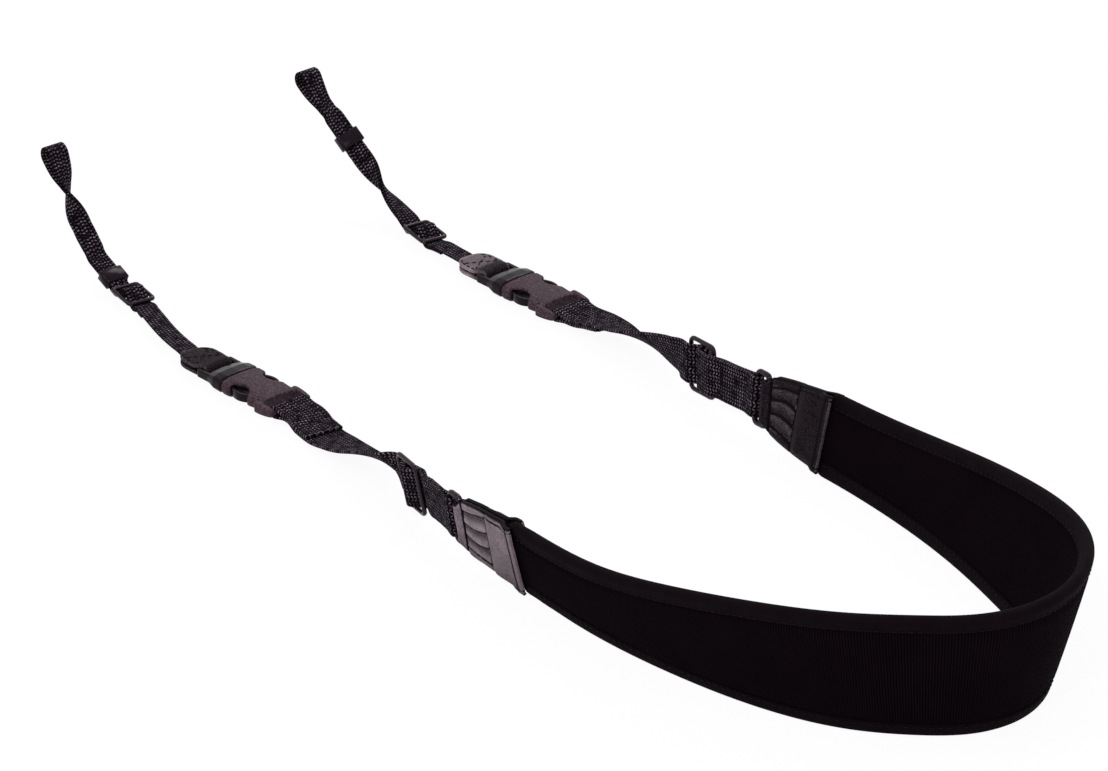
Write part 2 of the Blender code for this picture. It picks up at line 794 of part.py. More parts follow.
def add_narrow_webbing(branch, group, carrier):
    """Sewn in the patch, over the tri-glide's middle bar, round the eye and back the same way."""
    name = f"narrow_webbing_{branch.side}"
    half = NARROW_THICKNESS / 2.0
    together = half + GAP / 2.0
    layer = NARROW_THICKNESS + GAP
    bar = GLIDE_BAR / 2.0 + GAP + half
    spread = (GLIDE_LENGTH - GLIDE_BAR) / 2.0
    first_bar, last_bar = branch.glide - spread, branch.glide + spread
    top = branch.top
    stops = [
        (branch.plug_bar + PLUG_BAR / 2.0 + 4.0, 0.0, 0, 0),
        (branch.patch_tip, 0.0, 0, 0),
        (first_bar - 5.0, -0.5, 0, 0),
        (first_bar, 0.0, bar, 1),
        (branch.glide, 0.0, bar + layer, -1),
        (last_bar, 0.0, bar, 1),
        (last_bar + 5.0, together - 0.6, 0, 0),
        (branch.keeper - 5.0, together, 0, 0),
        (branch.eye - 15.0, together, 0, 0),
        (branch.eye, 0.0, EYE_RADIUS + half, -1),
        (branch.eye - 15.0, -together, 0, 0),
        (branch.keeper - 5.0, -together, 0, 0),
        (last_bar + 5.0, together - 0.6 - layer, 0, 0),
        (last_bar, 0.0, bar + layer, -1),
        (branch.glide, 0.0, bar, 1),
        (first_bar, 0.0, bar + layer, -1),
        (first_bar - 5.0, -0.5 - layer, 0, 0),
        (first_bar - NARROW_TAIL, -0.2 - layer, 0, 0),
    ]
    path = [(station, top * height) for station, height in belt(stops, run_step=5.0)]
    mesh = strip_mesh(name, path, NARROW_WIDTH, NARROW_THICKNESS)
    branch.bend(mesh)
    piece = add_object(name, mesh, "webbing", group)
    set_under(piece, carrier, Matrix())
    return piece


# Leather patch


def add_patch(branch, group, carrier):
    """Leather folded round the plug's bar: two leaf-shaped sides with the webbing between them."""
    name = f"leather_patch_{branch.side}"
    half = PATCH_LEATHER / 2.0
    leaf = NARROW_THICKNESS / 2.0 + GAP + half
    seat = PLUG_BAR / 2.0 + GAP + half
    tip = branch.patch_tip
    stops = [
        (tip, leaf, 0, 0),
        (branch.plug_bar + 5.0, leaf, 0, 0),
        (branch.plug_bar, 0.0, seat, 1),
        (branch.plug_bar + 5.0, -leaf, 0, 0),
        (tip, -leaf, 0, 0),
    ]
    path = belt(stops, arc_step=36.0, run_step=2.2)

    def width(row, station):
        share = (station - branch.plug_bar) / PATCH_LENGTH
        share = min(max(share, 0.0), 1.0)
        neck = PLUG_END_WIDTH - 2.0 * PLUG_RAIL - 2.0 * PLAY
        swell = smooth(share / 0.3)
        body = neck + (PATCH_WIDTH - neck) * swell
        if share > 0.55:
            part = (share - 0.55) / 0.45
            body *= 0.28 + 0.72 * math.sqrt(max(0.0, 1.0 - part * part))
        return body

    mesh = strip_mesh(name, path, width, PATCH_LEATHER)
    branch.bend(mesh)
    piece = add_object(name, mesh, "leather", group)
    set_under(piece, carrier, Matrix())
    return piece


# Buckle


def crowned_section(x, width, thickness, crown=0.8):
    """A section of the buckle's housing: a rounded bar with crowned faces."""
    half_width, half = width / 2.0, thickness / 2.0
    points = []
    for y_share, z_share in ((1.0, 0.0), (1.0, 0.55), (0.92, 0.9), (0.6, 1.0), (0.0, 1.0)):
        lift = crown * (1.0 - y_share * y_share) if z_share >= 1.0 else 0.0
        points.append((y_share * half_width, z_share * (half - crown) + lift))
    quarter = points[1:]
    upper = quarter[:-1] + [points[-1]] + [(-y, z) for y, z in reversed(quarter[:-1])]
    ring = [(half_width, 0.0)] + upper + [(-half_width, 0.0)]
    ring += [(y, -z) for y, z in reversed(upper)]
    return [(x, y, z) for y, z in ring]


def loop_parts(root, end, width, opening, rail_thickness, bar):
    """Two rounded rails from root to end and a round bar across them, for a strap to fold round."""
    rail_width = (width - opening) / 2.0
    parts = []
    for direction in (-1, 1):
        centre = ((root + end) / 2.0, direction * (width - rail_width) / 2.0)
        outline = rounded_rectangle(abs(end - root), rail_width, 0.45 * rail_width, count=2, centre=centre)
        parts.append(outline_mesh("rail", [outline], rail_thickness, bevel=0.25 * rail_width, segments=1))
    inward = math.copysign(bar / 2.0, root - end)
    across = Matrix.Translation((end + inward, 0.0, 0.0)) @ Matrix.Rotation(math.radians(90.0), 4, "X")
    parts.append(cylinder_mesh("bar", bar / 2.0, opening + rail_width, 12, across))
    return parts


def socket_mesh(name):
    """The socket half, mouth at x = 0 and the webbing's loop towards -x."""
    end = -SOCKET_LENGTH
    loop_end = end - SOCKET_LOOP
    body = loft_mesh(name, [
        crowned_section(0.0, BUCKLE_WIDTH - 0.8, BUCKLE_THICKNESS - 0.8),
        crowned_section(-1.2, BUCKLE_WIDTH, BUCKLE_THICKNESS),
        crowned_section(-0.55 * SOCKET_LENGTH, BUCKLE_WIDTH, BUCKLE_THICKNESS - 0.8),
        crowned_section(end + 1.0, SOCKET_END_WIDTH, SOCKET_END_THICKNESS),
        crowned_section(end, SOCKET_END_WIDTH, SOCKET_END_THICKNESS - 0.8),
    ])
    rails = loop_parts(
        end + 3.0, loop_end, SOCKET_LOOP_WIDTH, WIDE_WIDTH + 2.0 * PLAY, SOCKET_RAIL_THICKNESS, SOCKET_BAR
    )
    body = combined(body, rails, "UNION")
    reach = BUCKLE_THICKNESS
    cavity_half = ARM_THICKNESS / 2.0 + PLAY
    cavity_width = BUCKLE_WIDTH / 2.0 - SOCKET_WALL
    cavity = box_mesh(
        "cavity", (end + 2.2, -cavity_width, -cavity_half), (1.0, cavity_width, cavity_half)
    )
    cutters = [cavity]
    for direction in (-1, 1):
        centre = Vector((-WINDOW_FROM_MOUTH, direction * (BUCKLE_WIDTH / 2.0 + 1.4), 0.0))
        cutters.append(
            cylinder_mesh("window", WINDOW_RADIUS, 2.0 * reach, 20, Matrix.Translation(centre))
        )
    return scaled(combined(body, cutters, "DIFFERENCE"))


def arm_outline(direction):
    """A spring arm: it runs in from the base, bows out into the window and turns back on itself."""
    root = BUCKLE_WIDTH / 2.0 - SOCKET_WALL - PLAY
    bow = BUCKLE_WIDTH / 2.0 - 0.3
    lobe_back = -(WINDOW_FROM_MOUTH - WINDOW_RADIUS) - 1.1
    lobe_front = -(WINDOW_FROM_MOUTH + WINDOW_RADIUS) + 1.9
    inner = root - 4.6
    middle = (lobe_back + lobe_front) / 2.0
    outer_side = [
        (1.0, root), (lobe_back, root), (lobe_back - 1.4, bow - 0.8), (middle, bow),
        (lobe_front + 1.6, bow - 0.9), (lobe_front, bow - 2.6), (-ARM_LENGTH + 1.2, root - 2.4),
        (-ARM_LENGTH, root - 3.8),
    ]
    inner_side = [
        (-ARM_LENGTH + 0.4, inner), (lobe_front + 0.5, inner - 0.5), (middle, inner - 0.2),
        (lobe_back + 0.2, root - ARM_WALL - 0.9), (-2.0, root - ARM_WALL - 0.6), (1.0, root - ARM_WALL - 1.2),
    ]
    outline = [(x, direction * y) for x, y in outer_side + inner_side]
    hole = [
        (middle + 3.6, bow - ARM_WALL - 1.3), (middle, bow - ARM_WALL), (middle - 3.8, bow - ARM_WALL - 1.2),
        (middle - 4.6, inner + ARM_WALL + 0.5), (middle, inner + ARM_WALL - 0.2),
        (middle + 3.2, inner + ARM_WALL + 0.5),
    ]
    return [outline, [(x, direction * y) for x, y in hole]]


def plug_mesh(name):
    """The plug half: a crowned base with a bar, a guide tongue and two spring arms."""
    slot_start = PLUG_LENGTH - PLUG_BAR - PLUG_SLOT
    body = loft_mesh(name, [
        crowned_section(PLAY, BUCKLE_WIDTH - 0.8, BUCKLE_THICKNESS - 0.8),
        crowned_section(1.4, BUCKLE_WIDTH, BUCKLE_THICKNESS),
        crowned_section(0.5 * slot_start, BUCKLE_WIDTH, BUCKLE_THICKNESS - 0.4),
        crowned_section(slot_start - 0.8, PLUG_END_WIDTH, PLUG_END_THICKNESS),
        crowned_section(slot_start, PLUG_END_WIDTH - 0.8, PLUG_END_THICKNESS - 0.8),
    ])
    slot_width = PLUG_END_WIDTH - 2.0 * PLUG_RAIL
    limbs = loop_parts(
        slot_start - 3.0, PLUG_LENGTH, PLUG_END_WIDTH, slot_width, PLUG_RAIL_THICKNESS, PLUG_BAR
    )
    tongue = [(1.0, TONGUE_WIDTH / 2.0), (-TONGUE_LENGTH + 2.0, TONGUE_WIDTH / 2.0),
              (-TONGUE_LENGTH, TONGUE_WIDTH / 2.0 - 1.2), (-TONGUE_LENGTH, 1.2 - TONGUE_WIDTH / 2.0),
              (-TONGUE_LENGTH + 2.0, -TONGUE_WIDTH / 2.0), (1.0, -TONGUE_WIDTH / 2.0)]
    limbs.append(outline_mesh("tongue", [tongue], ARM_THICKNESS - 0.6))
    for direction in (-1, 1):
        limbs.append(outline_mesh("arm", arm_outline(direction), ARM_THICKNESS))
    return scaled(combined(body, limbs, "UNION"))


def add_buckle(branch, group, carrier):
    socket = add_object(
        f"buckle_socket_{branch.side}", socket_mesh(f"buckle_socket_{branch.side}"), "plastic", group
    )
    socket.matrix_world = branch.matrix(branch.mouth)
    plug = add_object(
        f"buckle_plug_{branch.side}", plug_mesh(f"buckle_plug_{branch.side}"), "plastic", group
    )
    set_under(plug, carrier, branch.matrix(branch.mouth))


def straighten_for(branch):
    """The line is straight where hard pieces sit on it."""
    sign = branch.sign
    line = branch.line
    spans = (
        ((branch.ring - 4.0 + branch.ring_centre + 8.0) / 2.0, RING_LENGTH + 8.0, 10.0),
        (branch.slider, WIDE_SLIDER_LENGTH + 6.0, 9.0),
        ((branch.socket_bar - 6.0 + branch.plug_bar + 10.0) / 2.0,
         branch.plug_bar - branch.socket_bar + 20.0, 14.0),
        (branch.glide, GLIDE_LENGTH + 4.0, 6.0),
        (branch.keeper + KEEPER_TRAVEL / 2.0, KEEPER_LENGTH + KEEPER_TRAVEL + 1.0, 6.0),
    )
    for centre, length, run_out in spans:
        line.straighten(sign * centre, length, run_out)


def on_origin(group):
    """Moves everything so that the box's bottom centre is the origin."""
    bpy.context.view_layer.update()
    corners = np.array([
        piece.matrix_world @ vertex.co
        for piece in group.objects if piece.type == "MESH" for vertex in piece.data.vertices
    ])
    low, high = corners.min(axis=0), corners.max(axis=0)
    shift = Vector((-(low[0] + high[0]) / 2.0, -(low[1] + high[1]) / 2.0, -low[2]))
    for piece in group.objects:
        if piece.parent is None:
            piece.location += shift
    return shift


def main():
    for piece in list(bpy.data.objects):
        bpy.data.objects.remove(piece)
    group = collection(OBJECT_NAME)
    line = StrapLine(laid_out(LINE_POINTS), laid_out([MIDDLE_POINT])[0])
    line.rest(PAD_SHOWN / 2.0 + PAD_TUCK, pad_width, 0.94 * BINDING_SHELL / 2.0 - 0.15)
    branches = [Branch(line, side) for side in SIDES]
    for branch in branches:
        straighten_for(branch)
    add_pad(line, group)
    add_bindings(line, group)
    for branch in branches:
        carrier = bpy.data.objects.new(f"buckle_slide_{branch.side}", None)
        group.objects.link(carrier)
        carrier.matrix_world = branch.matrix(branch.mouth)
        bpy.context.view_layer.update()
        add_tab(branch, group)
        add_ring(branch, group)
        add_wide_webbing(branch, group)
        add_wide_slider(branch, group)
        add_buckle(branch, group, carrier)
        add_patch(branch, group, carrier)
        add_narrow_webbing(branch, group, carrier)
        add_glide(branch, group, carrier)
        add_keeper(branch, group, carrier)
    on_origin(group)


if __name__ == "__main__":
    main()
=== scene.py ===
"""Looks of the neck strap: knit pad, bound edges, leather ends, webbing and plastic hardware.

Every piece is laid out flat in the strap's own coordinates: the station along the strap, the place
across it and the height off its middle layer, in millimetres. It is then bent onto the strap's
line, which is the line that the solids follow. Finished meshes are in metres.
"""

import math
from functools import partial

import bmesh
import bpy
import numpy as np
from bpy.props import FloatProperty, FloatVectorProperty, IntProperty, PointerProperty
from bpy.types import Operator, Panel, PropertyGroup
from mathutils import Matrix, Vector, noise


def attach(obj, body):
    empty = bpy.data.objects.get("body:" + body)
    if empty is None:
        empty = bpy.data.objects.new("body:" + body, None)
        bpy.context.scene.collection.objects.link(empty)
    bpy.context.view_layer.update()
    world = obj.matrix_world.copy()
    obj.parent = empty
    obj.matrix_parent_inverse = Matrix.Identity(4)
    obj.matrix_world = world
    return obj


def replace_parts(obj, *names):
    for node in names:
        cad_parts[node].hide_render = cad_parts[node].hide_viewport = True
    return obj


bl_info = {
    "name": "Neck strap",
    "version": (1, 0, 0),
    "blender": (4, 5, 0),
    "location": "3D View > Sidebar > Strap",
    "description": "Makes a padded neck strap with leather ends, webbing and buckles",
    "category": "Add Mesh",
}

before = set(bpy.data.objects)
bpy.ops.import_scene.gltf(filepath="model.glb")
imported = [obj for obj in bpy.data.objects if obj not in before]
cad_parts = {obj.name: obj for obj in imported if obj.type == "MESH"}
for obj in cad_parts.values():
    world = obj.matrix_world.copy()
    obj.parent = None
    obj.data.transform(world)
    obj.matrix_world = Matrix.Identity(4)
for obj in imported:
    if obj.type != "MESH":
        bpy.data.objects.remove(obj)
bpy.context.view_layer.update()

MM = 0.001
UV_NAME = "strap_uv"

# The solids' own sizes in millimetres, with the rounding of leather's and webbing's edges
GAP = 0.3
PLAY = 0.35
PAD_SHOWN = 550.4
PAD_TUCK = 16.0
PAD_END_WIDTH = 41.0
PAD_MIDDLE_WIDTH = 70.0
PAD_PINCH = 0.7
TUCK_INSET = 3.9
PAD_THICKNESS = 6.6
BINDING_WIDTH = 7.5
BINDING_THICKNESS = 1.2
BINDING_SHELL = 6.2
TAB_LENGTH = 45.0
TAB_RING_WIDTH = 24.0
TAB_INSET = 2.8
TAB_SWELL = 0.65
TAB_LEATHER = 1.5
RING_BAR = 3.0
RING_LENGTH = 12.0
WIDE_WIDTH = 20.0
WIDE_THICKNESS = 1.3
WIDE_TAIL = 31.0
WIDE_SLIDER_LENGTH = 20.5
WIDE_SLIDER_BAR = 2.4
NARROW_WIDTH = 10.0
NARROW_THICKNESS = 1.1
NARROW_TAIL = 12.0
GLIDE_LENGTH = 19.0
GLIDE_BAR = 2.2
KEEPER_LENGTH = 7.5
KEEPER_TRAVEL = 8.0
EYE_RADIUS = 3.7
SOCKET_LENGTH = 28.0
SOCKET_LOOP = 9.6
SOCKET_BAR = 3.0
PLUG_LENGTH = 19.6
PLUG_END_WIDTH = 21.0
PLUG_BAR = 3.0
PLUG_RAIL = 2.4
TONGUE_WIDTH = 4.4
TONGUE_LENGTH = 24.0
TONGUE_HEIGHT = 3.6
PATCH_LENGTH = 19.0
PATCH_WIDTH = 18.5
PATCH_LEATHER = 1.3
LEATHER_EDGE = 0.35
SELVEDGE = 0.28
RING_TO_SLIDER = {"left": 47.1, "right": 48.1}
SLIDER_TO_SOCKET_BAR = {"left": 114.4, "right": 102.4}
PATCH_TO_GLIDE = {"left": 69.5, "right": 36.5}
GLIDE_TO_KEEPER = {"left": 17.5, "right": 69.0}
KEEPER_TO_EYE = {"left": 67.5, "right": 36.0}

# From the line's own coordinates to the solids' origin
ORIGIN_SHIFT = (-65.571, 47.908, 0.0)

# The strap's line: x, y, z and roll in degrees, as in the solids
LINE_POINTS = (
    (-261, -94.2, 60, 362), (-254, -94.6, 49, 345), (-246, -95, 36, 275), (-236, -95, 24, 205),
    (-226, -94.5, 13.5, 183), (-214, -94.5, 7.2, 180), (-198, -96, 5.2, 180),
    (-181, -100, 4.6, 180), (-160, -107, 4.6, 180), (-137, -112.5, 4.8, 180),
    (-115, -114.5, 5.0, 180), (-91, -114.5, 5.0, 180), (-70, -114, 5.0, 180),
    (-50, -114.6, 4.3, 180), (-24, -118.5, 3.6, 180), (5, -122.3, 8.0, 165),
    (28, -126.6, 13.4, 139), (54, -133, 14.6, 100), (75, -138, 16.5, 98), (97, -143, 18.5, 98),
    (132, -147, 20, 102), (152, -147.5, 21, 105), (181, -150, 23, 106), (209, -151.5, 26, 107),
    (258, -148.5, 31, 106), (302, -140, 34, 105), (338, -125, 35, 105), (362, -106, 35.2, 105),
    (379, -84, 35.2, 105), (384, -58, 35.2, 105), (375, -31, 35.2, 105), (353, -8, 35, 105),
    (325, 6, 34.2, 105), (294.5, 16, 32.5, 105), (265, 24, 30.5, 105), (230, 31, 26.5, 105),
    (184.5, 36.5, 23, 105), (154, 38, 21, 104), (132, 38, 20, 102), (101, 40.5, 18.5, 98),
    (80, 43, 16.5, 95), (53, 46, 14.6, 92), (31, 48, 13, 74), (6, 50, 10, 38),
    (-23, 52, 6.8, 6), (-47, 52, 5.0, 0), (-74, 51, 5.0, 0), (-99, 50.5, 5.0, 0),
    (-120, 50.5, 4.9, 0), (-142, 52, 4.8, 0), (-158, 53.5, 5.6, 2), (-176, 56, 8, 10),
    (-191, 58, 13, 42), (-204, 58.5, 20.5, 100), (-217, 57, 31, 152), (-228, 54.5, 42, 170),
    (-237, 51.4, 52, 178), (-245, 51, 61, 180),
)
MIDDLE_POINT = (383.9, -62)
SIDES = {"left": -1, "right": 1}

# The camera stands where the perspective of the floor puts it
IMAGE_WIDTH = 1108
CAMERA_DISTANCE = 4.0
CAMERA_ELEVATION = 27.0
CAMERA_HEADING = (0.7554, -0.6553)
FOCAL_PIXELS = 8480.0
SENSOR_WIDTH = 36.0


def limited(t):
    """A number kept between 0 and 1."""
    return min(max(t, 0.0), 1.0)


def smooth(t):
    """A number from 0 to 1 that leaves and arrives gently."""
    t = limited(t)
    return t * t * (3.0 - 2.0 * t)


def near(value, place, reach):
    """1 at a place, falling to 0 at a reach from it."""
    return max(0.0, 1.0 - abs(value - place) / reach)


# The strap's line


def run_along(points):
    """The way from the first point to each of them."""
    steps = np.linalg.norm(np.diff(points, axis=0), axis=1)
    return np.concatenate([[0.0], np.cumsum(steps)])


def spline(points, step=1.0):
    """Points about one step apart on the smooth curve through points of three or more columns."""
    points = np.array(points, float)
    chord = run_along(points[:, :3])
    count = len(points)
    gaps = np.diff(chord)
    matrix = np.eye(count)
    right = np.zeros_like(points)
    for i in range(1, count - 1):
        matrix[i, i - 1 : i + 2] = (gaps[i - 1], 2.0 * (gaps[i - 1] + gaps[i]), gaps[i])
        rise = (points[i + 1] - points[i]) / gaps[i] - (points[i] - points[i - 1]) / gaps[i - 1]
        right[i] = 6.0 * rise
    bend = np.linalg.solve(matrix, right)
    at = np.linspace(0.0, chord[-1], int(chord[-1] / step) + 1)
    k = np.clip(np.searchsorted(chord, at, side="right") - 1, 0, count - 2)
    a, b, h = at - chord[k], chord[k + 1] - at, gaps[k]
    curve = (bend[k].T * b**3 + bend[k + 1].T * a**3) / (6.0 * h)
    curve += (points[k].T / h - bend[k].T * h / 6.0) * b
    curve += (points[k + 1].T / h - bend[k + 1].T * h / 6.0) * a
    return curve.T


class StrapLine:
    """The strap's line in millimetres, by station: 0 in the pad's middle, minus on the left."""

    # Half the step over which a direction is read, and the margin that it needs at the ends
    HALF_STEP = 0.5
    END_MARGIN = 0.6

    def __init__(self, points, middle):
        curve = spline(points)
        self.place, self.roll = curve[:, :3], curve[:, 3]
        self.station = run_along(self.place)
        nearest = np.argmin(np.linalg.norm(self.place[:, :2] - np.array(middle), axis=1))
        self.station -= self.station[nearest]

    def rest(self, reach, width, sole, run_out):
        """Stands the strap on its lower edge up to a reach from its middle, and eases beyond."""
        for i, station in enumerate(self.station):
            share = 1.0 - smooth((abs(station) - reach) / run_out)
            if share > 0.0:
                rise = math.sin(math.radians(self.roll[i]))
                stand = (width(station) / 2.0 - BINDING_SHELL / 2.0) * rise + sole
                self.place[i][2] += share * (stand - self.place[i][2])

    def value(self, table, station):
        return np.array([np.interp(station, self.station, column) for column in table.T])

    def straighten(self, centre, length, run_out):
        """Makes the line straight and untwisted over a hard piece, and eases it back beyond."""
        place = self.value(self.place, centre)
        ahead = self.value(self.place, centre + 0.3 * length)
        ahead -= self.value(self.place, centre - 0.3 * length)
        ahead /= np.linalg.norm(ahead)
        roll = np.interp(centre, self.station, self.roll)
        for i, station in enumerate(self.station):
            share = 1.0 - smooth((abs(station - centre) - 0.5 * length) / run_out)
            if share > 0.0:
                straight = place + ahead * (station - centre)
                self.place[i] += share * (straight - self.place[i])
                self.roll[i] += share * (roll - self.roll[i])

    def frame(self, station):
        """Place, the directions along, across and outward, at a station."""
        low, high = self.station[0] + self.END_MARGIN, self.station[-1] - self.END_MARGIN
        inside = min(max(station, low), high)
        ahead, behind = inside + self.HALF_STEP, inside - self.HALF_STEP
        along = self.value(self.place, ahead) - self.value(self.place, behind)
        along = Vector(along).normalized()
        place = Vector(self.value(self.place, inside)) + along * (station - inside)
        level = Vector((0, 0, 1)).cross(along).normalized()
        rise = along.cross(level)
        roll = math.radians(float(np.interp(inside, self.station, self.roll)))
        across = math.cos(roll) * level + math.sin(roll) * rise
        return place, along, across, along.cross(across)

    def point(self, station, across, height):
        """A flat point, in metres where it stands on the strap."""
        place, _, sideways, outer = self.frame(station)
        return (place + sideways * across + outer * height + Vector(ORIGIN_SHIFT)) * MM

    def directions(self, station):
        return self.frame(station)[1:]


class Branch:
    """One side of the strap. Its stations run from the pad's middle to the eye. Its sign also says
    which way the top of its hard pieces looks: along the line's outer face, or against it."""

    def __init__(self, line, side):
        self.line, self.side, self.sign = line, side, SIDES[side]
        self.end_body = f"thin_end_{side}"
        self.seam = PAD_SHOWN / 2.0
        self.ring = self.seam + TAB_LENGTH
        self.ring_centre = self.ring + RING_LENGTH / 2.0 - RING_BAR / 2.0
        self.slider = self.ring_centre + RING_TO_SLIDER[side]
        self.socket_bar = self.slider + SLIDER_TO_SOCKET_BAR[side]
        self.mouth = self.socket_bar - SOCKET_BAR / 2.0 + SOCKET_LOOP + SOCKET_LENGTH
        self.plug_bar = self.mouth + PLUG_LENGTH - PLUG_BAR / 2.0
        self.patch_tip = self.plug_bar + PATCH_LENGTH
        self.glide = self.patch_tip + PATCH_TO_GLIDE[side]
        self.keeper = self.glide + GLIDE_TO_KEEPER[side]
        self.eye = self.keeper + KEEPER_TO_EYE[side]
        buckle_centre = (self.socket_bar - 6.0 + self.plug_bar + 10.0) / 2.0
        buckle_length = self.plug_bar - self.socket_bar + 20.0
        # Where the webbing lies straight: the middle, the length and the run-out to either side
        spans = (
            ((self.ring - 4.0 + self.ring_centre + 8.0) / 2.0, RING_LENGTH + 8.0, 10.0),
            (self.slider, WIDE_SLIDER_LENGTH + 6.0, 9.0),
            (buckle_centre, buckle_length, 14.0),
            (self.glide, GLIDE_LENGTH + 4.0, 6.0),
            (self.keeper + KEEPER_TRAVEL / 2.0, KEEPER_LENGTH + KEEPER_TRAVEL + 1.0, 6.0),
        )
        for centre, length, run_out in spans:
            line.straighten(self.sign * centre, length, run_out)

    def point(self, station, across, height):
        return self.line.point(self.sign * station, self.sign * across, height)

    def directions(self, station):
        """Outward along the branch, across and outer face."""
        along, across, outer = self.line.directions(self.sign * station)
        return along * self.sign, across * self.sign, outer


# The share of the half pad that swells, and the runs in which it is pinched and cut narrower
SWELL_SHARE = 0.85
PINCH_RUN = 14.0
TUCK_RUN = 5.0


def pad_width(station):
    """The pad swells from its ends to its middle."""
    share = abs(station) / (PAD_SHOWN / 2.0)
    swell = smooth((1.0 - share) / SWELL_SHARE)
    return PAD_END_WIDTH + (PAD_MIDDLE_WIDTH - PAD_END_WIDTH) * swell


def pad_pinch(station):
    """The pad's thickness as a share: it is pressed together under the tabs."""
    pinched = smooth((abs(station) - PAD_SHOWN / 2.0 + PINCH_RUN) / PINCH_RUN)
    return 1.0 - (1.0 - PAD_PINCH) * pinched


def leaf_width(from_ring):
    """A tab's width, which grows from the ring to the tab's other end, where it covers the pad."""
    cover = pad_width(PAD_SHOWN / 2.0) - TAB_INSET
    share = limited(from_ring / TAB_LENGTH) ** TAB_SWELL
    return TAB_RING_WIDTH + (cover - TAB_RING_WIDTH) * share


def tucked_width(station):
    """The pad's width: beyond the seam it is cut narrower, so that the tab closes round it."""
    beyond = abs(station) - PAD_SHOWN / 2.0
    hidden = leaf_width(TAB_LENGTH - beyond) - 2.0 * TUCK_INSET
    return pad_width(station) + (hidden - pad_width(station)) * smooth(beyond / TUCK_RUN)


# How high the middle of the lower binding's fold stands over the floor, which presses it flat,
# and the run in which the strap comes off the floor
SOLE = 0.94 * BINDING_SHELL / 2.0 - 0.15
REST_RUN = 25.0

LINE = StrapLine(LINE_POINTS, MIDDLE_POINT)
LINE.rest(PAD_SHOWN / 2.0 + PAD_TUCK, pad_width, SOLE, REST_RUN)
BRANCHES = [Branch(LINE, side) for side in SIDES]


def belt(stops, arc_step=15.0, run_step=1.0):
    """A taut path round circles. A stop is (station, height, radius, turn): turn is 1 where the
    path goes round the circle anticlockwise and -1 where it goes clockwise."""
    centres = [np.array(stop[:2], float) for stop in stops]
    signed = [stop[2] * stop[3] for stop in stops]
    normals = []
    for i in range(len(stops) - 1):
        apart = centres[i + 1] - centres[i]
        length = np.linalg.norm(apart)
        apart = apart / length
        square = np.array((-apart[1], apart[0]))
        lean = (signed[i + 1] - signed[i]) / length
        normals.append(lean * apart + math.sqrt(1.0 - lean * lean) * square)
    path = []
    for i, centre in enumerate(centres):
        before = normals[max(i - 1, 0)]
        after = normals[min(i, len(normals) - 1)]
        if signed[i] == 0.0:
            path.append(centre)
            continue
        first = math.atan2(before[1], before[0])
        turned = math.atan2(after[1], after[0]) - first
        if signed[i] > 0.0:
            turned %= math.tau
        else:
            turned = -(-turned % math.tau)
        count = max(1, math.ceil(abs(math.degrees(turned)) / arc_step))
        for k in range(count + 1):
            angle = first + turned * k / count
            path.append(centre - signed[i] * np.array((math.cos(angle), math.sin(angle))))
    full = [path[0]]
    for point in path[1:]:
        length = np.linalg.norm(point - full[-1])
        if length < 0.02:
            continue
        start = full[-1]
        count = max(1, math.ceil(length / run_step))
        full.extend(start + (point - start) * k / count for k in range(1, count + 1))
    return full


def eased(path, rounds):
    """The path with its corners rounded; the two ends stay."""
    path = np.array(path)
    for _ in range(rounds):
        path[1:-1] = 0.5 * path[1:-1] + 0.25 * (path[:-2] + path[2:])
    return [tuple(point) for point in path]


# Meshes


def mesh_of(bm, name):
    mesh = bpy.data.meshes.new(name)
    bm.to_mesh(mesh)
    bm.free()
    return mesh


def linked(name, mesh):
    piece = bpy.data.objects.new(name, mesh)
    bpy.context.scene.collection.objects.link(piece)
    return piece


def baked(piece):
    """The piece's mesh with its modifiers applied; the piece itself is removed."""
    depsgraph = bpy.context.evaluated_depsgraph_get()
    mesh = bpy.data.meshes.new_from_object(piece.evaluated_get(depsgraph))
    bpy.data.objects.remove(piece)
    return mesh


def soften(piece, rounding, segments, angle):
    """Rounds the edges of a piece that turn by more than an angle in degrees."""
    bevel = piece.modifiers.new("edges", "BEVEL")
    bevel.width = rounding
    bevel.segments = segments
    bevel.limit_method = "ANGLE"
    bevel.angle_limit = math.radians(angle)


def thickened(mesh, thickness, rounding):
    """A sheet given a wall about its middle, with its rims rounded over."""
    piece = linked("sheet", mesh)
    wall = piece.modifiers.new("wall", "SOLIDIFY")
    wall.thickness = thickness
    wall.offset = 0.0
    wall.use_even_offset = True
    soften(piece, rounding, 2, 60.0)
    return baked(piece)


def righted(mesh):
    """The mesh with all its faces turned outwards."""
    bm = bmesh.new()
    bm.from_mesh(mesh)
    bmesh.ops.recalc_face_normals(bm, faces=bm.faces)
    bm.to_mesh(mesh)
    bm.free()
    return mesh


def finished(name, mesh, material, body, sharp=45.0):
    """Names a mesh as a piece of the strap, riding on a body."""
    piece = linked(name, mesh)
    mesh.name = name
    mesh.materials.clear()
    mesh.materials.append(material)
    mesh.shade_smooth()
    mesh.set_sharp_from_angle(angle=math.radians(sharp))
    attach(piece, body)
    return piece


